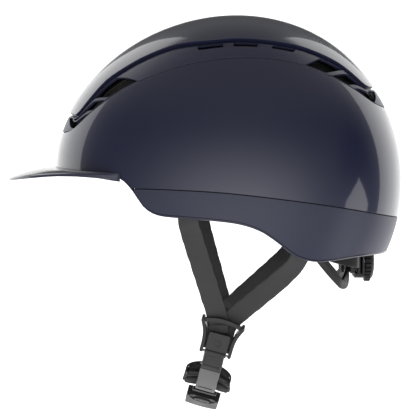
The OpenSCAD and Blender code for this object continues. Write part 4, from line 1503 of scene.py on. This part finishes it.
def strap_folds():
    """The webbing doubled back under the divider, sewn flat at its lower end."""
    marks = [23 + 1.5 * i for i in range(17)]
    parts = []
    for off in (1.55, -1.55):
        rows = []
        for s in marks:
            close = smooth((s - 37) / 9)
            held = off * (1 - 0.25 * close) + 0.12 * math.sin(s * 0.9) * (1 - close)
            rows.append((on_loop(s, held), ACROSS))
        path = Path([tuple(c) + tuple(a) for c, a in rows], 1.5)
        stations = []
        for q in path.stations(1.5):
            centre, side, _ = path.at(q)
            u = q / path.length
            wide = 15.9 - 1.0 * smooth((u - 0.35) / 0.2) + 0.35 * math.sin(q * 0.9 + off)
            stations.append((centre, side, wide, 1.15))
        parts.append(swept("fold", stations, webbing_section(16, 1.15), uv=True))
        if off > 0:
            outer = path
    # The turned end closes the two layers
    end = [(on_loop(47.2, 1.2 * cos_d(a)) + DOWN * 1.2 * sin_d(a), ACROSS)
           for a in range(-10, 191, 25)]
    piece, _ = strap("fold", end, 15.2, 1.0, wander=0.1, step=0.6)
    parts.append(piece)
    web = joined("strap_fold_web", parts)
    both_sides(web, "strap_fold", "webbing", "webbing")
    rows = bar_tack(outer.length - 3.6, 6.6, rows=1, pitch=0.75)
    for w in (-6.2, 6.2):
        rows += running_stitch(w, 15.5, outer.length - 4)
    for w in (-2.0, 2.0):
        rows += running_stitch(w, 16.5, outer.length - 4)
    both_sides(thread_piece("strap_fold_thread", stitches(outer, rows, 0.45)), None,
               "webbing", "thread")


def chin_straps():
    shared = [(on_loop(s), ACROSS) for s in range(25, 66, 4)]
    left_piece, path = strap("chin_strap_web_left", shared + [(on_loop(67.4), ACROSS)], 15.6, 1.4)
    left_piece.data.materials.append(MATERIALS["webbing_grey"])
    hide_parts("chin_strap_left")
    tuple(on_loop(50) * MM)
    tuple(on_loop(66) * MM)
    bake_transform(left_piece)
    tail = [(loop_point(s, y), ACROSS) for s, y in
            ((69.2, -29.5), (73.6, -22), (77, -14.5), (79, -7.5), (79.7, -1.2))]
    piece, _ = strap("chin_strap_web", shared + tail, 15.6, 1.4)
    right = mirrored(piece, "chin_strap_web_right")
    bpy.data.objects.remove(piece)
    finish_piece(right, "helmet", "webbing_grey", "webbing_grey", "chin_strap_right")
    marks = [(path.length - 5.5 + 1.5 * (i % 2), -5.6 + 0.7 * i, path.length - 4 - 1.5 * (i % 2),
              -5.6 + 0.7 * i + 0.35) for i in range(16)]
    tack = thread_piece("chin_strap_thread", stitches(path, marks, 0.7))
    finish_piece(tack, "tongue", "webbing_grey", "thread")


# ---------------------------------------------------------------- buckle

def buckle_plan(grow=0.0):
    """Straight sides and a bowed far end."""
    half, r = 13.1 + grow, 26 + grow
    turn = math.degrees(math.asin((half - 2.2) / r))
    bow = arc((-11.5, 0), r, -turn, turn, 24)
    near = -12.5 - grow
    corner = 2.4
    shoulders = rounded([(bow[-1][0] - 0.5, half), (near, half), (near, -half),
                         (bow[-1][0] - 0.5, -half)], corner)
    kept = [p for p in shoulders if p[0] < bow[-1][0] - 1.2]
    ends = [(bow[-1][0] - 1.6, half), (bow[0][0] - 1.6, -half)]
    blend_top = [(mix(bow[-1][0], ends[0][0], u) + 0.35 * math.sin(math.pi * u),
                  mix(bow[-1][1], half, 1 - (1 - u) ** 2)) for u in (0.33, 0.67)]
    blend_low = [(x, -y) for x, y in reversed(blend_top)]
    return bow + blend_top + kept + blend_low


def buckle():
    def part(name, outline, levels, low, high):
        return plate(name, outline, levels, low, high, BUCKLE)

    plan = buckle_plan()
    parts = [part("floor", plan, [], -3.6, -1.5), part("body", plan, [], 0.9, 1.6)]
    for flip in (1, -1):
        cheek = [(-12.3, flip * 8.1), (2.6, flip * 8.1), (2.6, flip * 1.0), (14.2, flip * 1.0),
                 (13.6, flip * 6), (12.0, flip * 10.5), (10.6, flip * 12.9), (-12.3, flip * 12.9)]
        parts.append(part("cheek", cheek, [], -1.6, 1.0))
    shell = joined("buckle_body_moulding", parts)
    finish_piece(bevel(shell, 0.55, 3, 50), "helmet", "black_plastic", "nylon", "buckle_body")
    # The cover has a half-moon dish that deepens in steps, and a hole with a lip for the button
    moon = [p for p in oval((-13, 0), 12.6, 11, 72) if p[0] > -12.2]
    steps = [([(x + grow if x > -12.1 else x, y * (1 + grow / 11)) for x, y in moon], h)
             for grow, h in ((0.0, 4.3), (-0.5, 4.0), (-1.0, 3.8), (-1.6, 3.62), (-2.4, 3.5))]
    button_at = (-5.6, 0)
    steps += [(oval(button_at, 4.75, 6.75), 3.3), (oval(button_at, 4.4, 6.4), None)]
    cover = part("buckle_cover_moulding", buckle_plan(-0.2), steps, 1.8, 4.7)
    finish_piece(bevel(cover, 0.5, 4, 60), "helmet", "black_plastic", "nylon", "buckle_cover")
    levels = [(oval(button_at, 4.2 - 0.55 * k, 6.2 - 0.8 * k), 4.85 if k % 2 else 4.5)
              for k in range(1, 6)]
    button = part("buckle_button_cap", oval(button_at, 4.15, 6.15), levels, 3.1, 4.7)
    finish_piece(bevel(button, 0.16, 2, 40), "button", "charcoal_plastic", "charcoal",
                 "buckle_button")
    place = frame_place(BUCKLE)
    springs = [cord("spring", [place(-5.6 + 0.55 * cos_d(a), y + 0.55 * sin_d(a),
                                     1.72 + 1.25 * a / 1440) for a in range(0, 1441, 30)], 0.11)
               for y in (-5.3, 5.3)]
    coils = joined("button_spring_coils", springs)
    finish_piece(coils, "helmet", "steel", "steel", "button_spring")
    fixed = place(-5.6, 0, 1.62)
    tuple(BUCKLE[3])
    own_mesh(coils)
    blade = [(-18, -7.5), (2.2, -7.5, 1.5), (3, -5.5, 1), (3, 5.5, 1), (2.2, 7.5, 1.5), (-18, 7.5)]
    slot = rounded(rectangle(-8, -3, -3, 3), 0.6)
    blade = part("blade", rounded(blade, 0.6), [(slot, None)], -0.85, 0.55)
    head = part("head", rounded(rectangle(-21.6, -9.5, -16.6, 9.5), 2), [], -1.5, 1.5)
    tongue = joined("buckle_tongue_moulding", [blade, head])
    finish_piece(bevel(tongue, 0.45, 3, 50), "tongue", "black_plastic", "nylon", "buckle_tongue")


def chin_pad():
    """A soft pad with half-round ends behind the buckle, with a paler cord sewn on its edge."""
    marks = [62.2, 64.2, 66, 67.5, 69.5, 71.5, 73.4]
    left = [on_loop(s, -7.6 - 0.4 * smooth((s - 64) / 9)) for s in marks]
    chain = left + [Vector((p.x, -p.y, p.z)) for p in reversed(left)]
    path = Path([tuple(p) + tuple(ACROSS) for p in chain], 1.5)
    half = 18.4
    length = path.length
    ends = arc((half * 0.62, 0), (half * 0.62, half), 90, 270, 18) \
        + arc((length - half * 0.62, 0), (half * 0.62, half), -90, 90, 18)

    def seams(p, _):
        v = (p - LOOP_ORIGIN).dot(ACROSS)
        near = min(abs(v - 7.5), abs(v + 7.5))
        return 0.55 * math.exp(-(near / 1.1) ** 2)

    pad = stuffed("chin_pad_fleece", ends, path.place, -1.5, 1.5, voxel=1.8, swell=0.8, seams=seams,
                  fill=2.6)
    finish_piece(pad, "helmet", "liner_fabric", "fleece", "chin_pad", soft=0.7)
    rim_line = [path.place(u, v, 0.0) for u, v in dense(ends, 3)]
    binding = piping("chin_pad_binding", rim_line, 0.85)
    finish_piece(binding, "helmet", "liner_fabric", "knit_edge")


# ---------------------------------------------------------------- fit system

DIAL_Z = -54.4
HOUSING_HALF = 22
BACK = (Vector((0, 0, 0)), Vector((0, 1, 0)), Vector((0, 0, 1)), Vector((1, 0, 0)))
DIAL = (Vector((0, 0, DIAL_Z)), Vector((0, 1, 0)), Vector((0, 0, 1)), Vector((1, 0, 0)))


def band(name, points, width, wall, taper=None):
    """A moulded strap round the nape: its flat faces look away from the head's axis."""
    rows = through(points, 1.6)
    stations = []
    for i, row in enumerate(rows):
        centre = Vector(row)
        along = Vector(rows[min(i + 1, len(rows) - 1)]) - Vector(rows[max(i - 1, 0)])
        out = Vector((centre.x - 40, centre.y * 1.1, 0)).normalized()
        wide = width * (taper(i / (len(rows) - 1)) if taper else 1)
        stations.append((centre, along.cross(out), wide, wall))
    return swept(name, stations, webbing_section(width, wall, 0.9))


def cradle():
    low = [(67, -61, -46), (71, -57, -51.5), (79, -49, -61.5), (85.5, -41.5, -69), (88.3, -36.5, -72),
           (90.8, -31.5, -72.6), (92.4, -27, -70.8), (93.4, -21, -66.6), (93.9, -14, -62.5)]
    top = [(88.6, -35.5, -70.8), (91.5, -29.5, -66.5), (93.4, -24, -61.0), (94, -16, -53.5)]
    rim = [(68.6, -59.4, -47.5), (79.6, -48.2, -60.6), (85.8, -41, -67.2), (88.6, -35.8, -69.4)]
    parts = []
    for flip in (1, -1):
        def turn(points, lift=0.0, flip=flip):
            return [(x + lift, flip * (y - lift), z) for x, y, z in points]
        parts.append(band("low", turn(low), 7.2, 2.4,
                          taper=lambda u: 1 - 0.2 * smooth((u - 0.5) / 0.3)))
        parts.append(band("top", turn(top), 5.0, 2.4))
        # A raised rib stiffens each band
        parts.append(band("rib", turn(rim, 0.8), 1.4, 1.6))
    wings = [(-19, -66, 3), (-12, -69, 3), (12, -69, 3), (19, -66, 3), (19, -45, 4), (12, -42.5, 3),
             (-12, -42.5, 3), (-19, -45, 4)]
    slots = [(rounded(rectangle(y - 1.1, -51.5, y + 1.1, -46), 1), None)
             for y in (-12, -6, 0, 6, 12)]
    parts.append(plate("plate", rounded(wings, 3), slots, 93, 95, BACK))
    piece = joined("cradle_moulding", parts)
    finish_piece(bevel(piece, 0.5, 3, 50), "helmet", "black_plastic", "nylon", "cradle")


ARM_ROUTE = [(-52, -61.5, -1), (-25, -71, -5), (0, -73.5, -10), (22, -70.5, -18), (40, -63.5, -28),
             (54, -54.5, -37.5), (67, -49.5, -44.5)]
# Each arm ends in its own rack's layer; the right one reaches it early and so passes the left rack
ARM_ENDS = {"left": [(80, -45, -49.5), (92, -40.5, -53), (99.5, -35.8, -54.4), (102, -29.5, -54.4)],
            "right": [(80, -47.5, -49.5), (92, -44.5, -52.8), (99.6, -40.6, -54.2),
                      (103.5, -36, -54.4), (104.1, -29.5, -54.4)]}


def arms():
    """Flexible arms that pull on the racks, each a fixed curved strip from the helmet to its rack."""
    for side, body in (("left", "left_rack"), ("right", "right_rack")):
        rows = [tuple(p) + (0.2 * (1 - smooth((p[0] - 78) / 18)), 0, -1)
                for p in ARM_ROUTE + ARM_ENDS[side]]
        path = Path(rows, 2)
        stations = []
        for q in path.stations(2):
            centre, across, _ = path.at(q)
            near_end = smooth((q - path.length + 14) / 12)
            wide = 9 * (1 - 0.25 * smooth((8 - q) / 8) + 0.1 * near_end)
            stations.append((centre, across, wide, 1.8 - 0.5 * near_end))
        parts = [swept("arm", stations, webbing_section(9, 1.8, 0.6))]
        for w in (-2.6, 2.6):
            line = [path.place(q, w, 0.95) for q in path.stations(3, 14, path.length - 30)]
            parts.append(rod("rib", line, 0.5))
        piece = joined("fit_arm_" + side, parts)
        if side == "right":
            piece.data.transform(Matrix.Scale(-1, 4, (0, 1, 0)))
            piece.data.flip_normals()
        shade_smooth(piece)
        piece.data.materials.append(MATERIALS["nylon"])
        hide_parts("arm_" + side)
        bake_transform(piece)
    z = Vector((-sin_d(20), -cos_d(20), 0))
    axes = (Vector((-44.8, -61.6, -2)), Vector((0, 0, 1)), z.cross(Vector((0, 0, 1))), z)
    button = turned_solid("arm_anchor_stud", [(0, -0.8), (3.6, -0.8), (4, -0.5), (4, 0.2), (3.5, 0.7),
                                              (1.4, 0.8), (1.1, 0.45), (0, 0.4)], axes, 40)
    both_sides(button, "arm_anchors", "black_plastic", "nylon", shared=True)


def sorted_round(points):
    """Points of a convex outline, in order round their middle."""
    middle = Vector((0, 0))
    for p in points:
        middle += Vector(p[:2]) / len(points)
    return sorted(points, key=lambda p: math.atan2(p[1] - middle.y, p[0] - middle.x))


def dial():
    """The dial's housing at the nape, its cover, the knob with a ribbed grip and a screw."""
    half, top, low = HOUSING_HALF, -41, -68.8
    plan = rounded([(-half, top, 1.5), (-half, low, 8), (half, low, 8), (half, top, 1.5)], 2, 8)
    seat = oval((0, DIAL_Z), 13.6, 13.6, 60)
    seat = [(y, max(low + 1.2, min(z, top - 1.2))) for y, z in seat]
    bore = oval((0, DIAL_Z), 4.1, 4.1, 32)
    housing = plate("housing", plan, [(seat, 106.6), (bore, None)], 105.3, 107, BACK)
    # The racks run through the open sides, between an upper and a lower wall
    foot = [p for p in plan if p[1] < -66] + [(half - 1.5, -64.8), (-half + 1.5, -64.8)]
    foot = rounded(sorted_round(foot), 0.2, 1)
    roof = rounded(rectangle(-half, -44, half, top), 1.2)
    parts = [housing] + [plate("wall", wall, [], 99.5, 105.4, BACK) for wall in (foot, roof)]
    shell = joined("dial_housing_moulding", parts)
    finish_piece(bevel(shell, 0.6, 3, 50), "helmet", "black_plastic", "nylon", "dial_housing")
    ribs = []
    for flip in (1, -1):
        for a, b in (((96.6, -55.2), (98.9, -57.4)), ((96.6, -59.0), (98.9, -61.2)),
                     ((105.7, -52.4), (106.7, -55.4))):
            ribs.append(rod("rib", [(a[0], flip * 22, a[1]), (b[0], flip * 22, b[1])], 0.6))
    piece = joined("dial_housing_ribs", ribs)
    finish_piece(piece, "helmet", "black_plastic", "grey_nylon")
    vents = [(rounded(rectangle(-8, z, 8, z + 1.6), 0.7), 1.5) for z in (-62, -58, -50, -46)]
    inwards = (Vector((99.2, 0, 0)), Vector((0, -1, 0)), Vector((0, 0, 1)), Vector((-1, 0, 0)))
    cover = plate("housing_cover_moulding", rounded(rectangle(-half, -64.8, half, top), 3), vents,
                  0.0, 3.1, inwards)
    finish_piece(bevel(cover, 0.5, 3, 50), "helmet", "black_plastic", "nylon", "housing_cover")
    inner = DIAL_R - 2
    profile = [(0, 110.5), (7, 110.5), (7, 107.9), (inner - 0.5, 107.9), (inner, 108.3), (inner, 112.9),
               (inner - 0.3, 113.4), (inner - 1.2, 114.3), (inner - 2.6, 114.9), (inner - 4.2, 115.2),
               (inner - 4.8, 114.9), (inner - 5.6, 114.9), (inner - 6.2, 115.3), (6, 115.6),
               (4.4, 115.6), (3.6, 115.4), (3.3, 114.4), (0, 114.3)]
    knob = turned_solid("dial_knob_moulding", profile, DIAL, 120)
    marks = []
    for a in range(0, 360, 30):
        points = [frame_place(DIAL)(r * cos_d(a), r * sin_d(a), h)
                  for r, h in ((7.4, 115.5), (8.6, 115.45), (9.6, 115.3))]
        marks.append(rod("mark", points, 0.4))
    knob = joined("dial_knob_moulding", [knob] + marks)
    finish_piece(knob, "dial", "black_plastic", "nylon", "dial_knob")

    def groove(angle, r):
        """Rounded notches round the grip's outer face."""
        if r < DIAL_R - 1:
            return r
        share = (angle * GRIP_GROOVES / 360) % 1
        return r - 1.15 * smooth((0.30 - abs(share - 0.5)) / 0.14)

    ring = [(inner + 0.05, 107.9), (DIAL_R - 0.4, 107.9), (DIAL_R, 108.3), (DIAL_R, 112.1),
            (DIAL_R - 0.4, 112.5), (inner + 0.05, 112.5)]
    grip = turned_solid("dial_grip_ring", ring, DIAL, GRIP_GROOVES * 12, ribs=groove)
    finish_piece(bevel(grip, 0.2, 2, 45), "dial", "rubber_grip", "rubber", "grip_ring")
    cross = [(-2.2, -0.4), (-0.4, -0.4), (-0.4, -2.2), (0.4, -2.2), (0.4, -0.4), (2.2, -0.4),
             (2.2, 0.4), (0.4, 0.4), (0.4, 2.2), (-0.4, 2.2), (-0.4, 0.4), (-2.2, 0.4)]
    head = plate("dial_screw_head", oval((0, 0), 2.95, 2.95, 40), [(cross, 114.65)], 114.1, 115.3,
                 DIAL)
    shank = turned_solid("shank", [(0, 105.6), (1.45, 105.6), (1.45, 114.2), (0, 114.2)], DIAL, 32)
    screw = joined("dial_screw_head", [head, shank])
    finish_piece(bevel(screw, 0.25, 3, 50), "dial", "steel", "steel", "dial_screw")


# ---------------------------------------------------------------- the scene

def bare_nodes():
    """Gives the CAD nodes that nothing stands for their materials."""
    finishes = {"shell": "gloss", "shell_satin": "satin", "trim": "trim", "mesh": "wire",
                "foam": "foam", "liner_fabric": "knit", "hook_tape": "hooks",
                "black_plastic": "nylon", "charcoal_plastic": "charcoal", "grey_plastic": "acetal",
                "rubber_grip": "rubber", "steel": "steel", "webbing": "webbing",
                "webbing_grey": "webbing_grey"}
    slots = {part["node"]: part["material_slot"] for part in frame["record"]["subparts"]}
    for name, node in frame["nodes"].items():
        if node.hide_render:
            continue
        node.data.materials.clear()
        node.data.materials.append(MATERIALS[finishes[slots[name]]])


def look_from(target, forward, distance, lens):
    """A camera that looks along a direction at a point."""
    camera = bpy.data.objects.new("camera", bpy.data.cameras.new("camera"))
    bpy.context.scene.collection.objects.link(camera)
    forward = Vector(forward).normalized()
    camera.location = (Vector(target) - forward * distance) * MM
    camera.rotation_euler = forward.to_track_quat("-Z", "Y").to_euler()
    camera.data.sensor_width = 36
    camera.data.lens = lens
    camera.data.clip_start = 0.02
    camera.data.clip_end = 60
    bpy.context.scene.camera = camera


# The studio's light by direction (x, y, z). The white wall's edge is at y = WALL_TURN x + WALL_EDGE
WALL_TURN = 0.06
WALL_EDGE = 0.197
WALL_TOP = 0.3
SIDE_TOP = 0.85
WALL_LIGHT = 1.45
ROOF_LIGHT = 0.15
ROOM_LIGHT = 0.13
# How much the flag takes off the room's light, between two values of x
FLAG_SHADE = 0.92
FLAG_FROM, FLAG_TO = 0.78, 0.95
TENT_LIGHT = 1.9
# The tent's middle (y / x), how fast it narrows upwards, its half width at z = 0 and at most
TENT_MIDDLE = -0.24
TENT_SLOPE = -1.1
TENT_FOOT = 0.02
TENT_HALF = 0.24
# Soft lights: direction, width in degrees, strength
LIGHTS = [((0.05, -1, -0.4), 34, 1.6)]
FLOOR_Z = -212
FLOOR_R = 4000
# The photo's point of view: the point looked at, the direction, the distance and the lens
VIEW = ((-16.4, 0, -14.4), (-0.03313, 0.99878, -0.03664), 1100, 119)


def studio():
    """A white room behind the helmet, dark on the near side, with a soft light low in front."""
    world = bpy.data.worlds.new("studio")
    bpy.context.scene.world = world
    world.use_nodes = True
    tree = world.node_tree
    tree.nodes.clear()

    def node(kind, **values):
        made = tree.nodes.new("ShaderNode" + kind)
        for key, value in values.items():
            setattr(made, key, value)
        return made

    def calc(operation, *values):
        made = node("Math", operation=operation)
        for socket, value in zip(made.inputs, values):
            if isinstance(value, (int, float)):
                socket.default_value = value
            else:
                tree.links.new(value, socket)
        return made.outputs[0]

    def ramp(value, low, high):
        made = node("MapRange", interpolation_type="SMOOTHSTEP")
        tree.links.new(value, made.inputs["Value"])
        made.inputs["From Min"].default_value = low
        made.inputs["From Max"].default_value = high
        return made.outputs["Result"]

    split = node("SeparateXYZ")
    tree.links.new(node("TexCoord").outputs["Generated"], split.inputs[0])
    x, y, z = split.outputs

    def blob(direction, width):
        """1 at a direction, fading over a width in degrees."""
        d = Vector(direction).normalized()
        dot = calc("ADD", calc("ADD", calc("MULTIPLY", x, d.x), calc("MULTIPLY", y, d.y)),
                   calc("MULTIPLY", z, d.z))
        spread = 2 * (1 - cos_d(width))
        return calc("EXPONENT", calc("DIVIDE", calc("SUBTRACT", dot, 1.0), spread / 2))

    wall = ramp(calc("SUBTRACT", y, calc("MULTIPLY_ADD", x, WALL_TURN, WALL_EDGE)), -0.012, 0.012)
    # The wall reaches higher at both sides than straight behind the helmet
    aside = ramp(calc("SUBTRACT", calc("ABSOLUTE", x), calc("MULTIPLY", y, 0.45)), -0.04, 0.06)
    top = calc("MULTIPLY_ADD", aside, SIDE_TOP - WALL_TOP, WALL_TOP)
    low = calc("SUBTRACT", 1.0, ramp(calc("SUBTRACT", z, top), -0.04, 0.04))
    light = calc("MULTIPLY", calc("MULTIPLY", wall, low), WALL_LIGHT)
    roof = calc("MULTIPLY", ramp(z, 0.45, 0.85), ROOF_LIGHT)
    # A dark flag between the wall's edge and the tent light
    flag = calc("SUBTRACT", 1.0, calc("MULTIPLY", ramp(x, FLAG_FROM, FLAG_TO), FLAG_SHADE))
    total = calc("ADD", calc("ADD", light, roof), calc("MULTIPLY", flag, ROOM_LIGHT))
    # A tent-shaped light behind the helmet: narrow at its top and wide below
    turn = calc("ABSOLUTE", calc("SUBTRACT", calc("DIVIDE", y, calc("MAXIMUM", x, 0.2)), TENT_MIDDLE))
    wide = calc("MINIMUM", calc("MULTIPLY_ADD", z, TENT_SLOPE, TENT_FOOT), TENT_HALF)
    tent = calc("MULTIPLY", ramp(calc("SUBTRACT", wide, turn), -0.03, 0.03), ramp(x, 0.6, 0.7))
    total = calc("ADD", total, calc("MULTIPLY", tent, TENT_LIGHT))
    for direction, width, strength in LIGHTS:
        total = calc("ADD", total, calc("MULTIPLY", blob(direction, width), strength))
    seen = node("LightPath").outputs["Is Camera Ray"]
    total = calc("MAXIMUM", total, seen)
    background = node("Background")
    tree.links.new(total, background.inputs["Strength"])
    background.inputs["Color"].default_value = (1, 1, 1, 1)
    output = node("OutputWorld")
    tree.links.new(background.outputs[0], output.inputs["Surface"])


def pale_floor():
    made = Finish("pale_floor", (0.86, 0.86, 0.86), 0.9, Emission_Strength=1.0)
    made.set("Emission Color", (1, 1, 1, 1))
    made.bump(made.noise(6.0, 3.0), 0.02, 0.1)
    points = [(FLOOR_R * cos_d(a), FLOOR_R * sin_d(a), FLOOR_Z) for a in range(0, 360, 6)]
    floor = mesh_piece("floor", points, [list(range(60))], smooth_faces=False)
    floor.data.materials.append(made.material)
    floor.visible_glossy = False


def build():
    upper_shell()
    lower_shell()
    seam_gasket()
    rim_trim()
    vent_frame()
    crown_panel()
    insect_mesh(-1, "left")
    insect_mesh(1, "right")
    visor()
    foam_liner()
    brow_pad()
    side_pads()
    crown_pad()
    nape_pads()
    side_straps()
    anchors()
    divider()
    strap_folds()
    chin_straps()
    buckle()
    chin_pad()
    cradle()
    arms()
    dial()


build()
bare_nodes()
look_from(*VIEW)
studio()
pale_floor()
bpy.context.scene.view_settings.view_transform = "Standard"
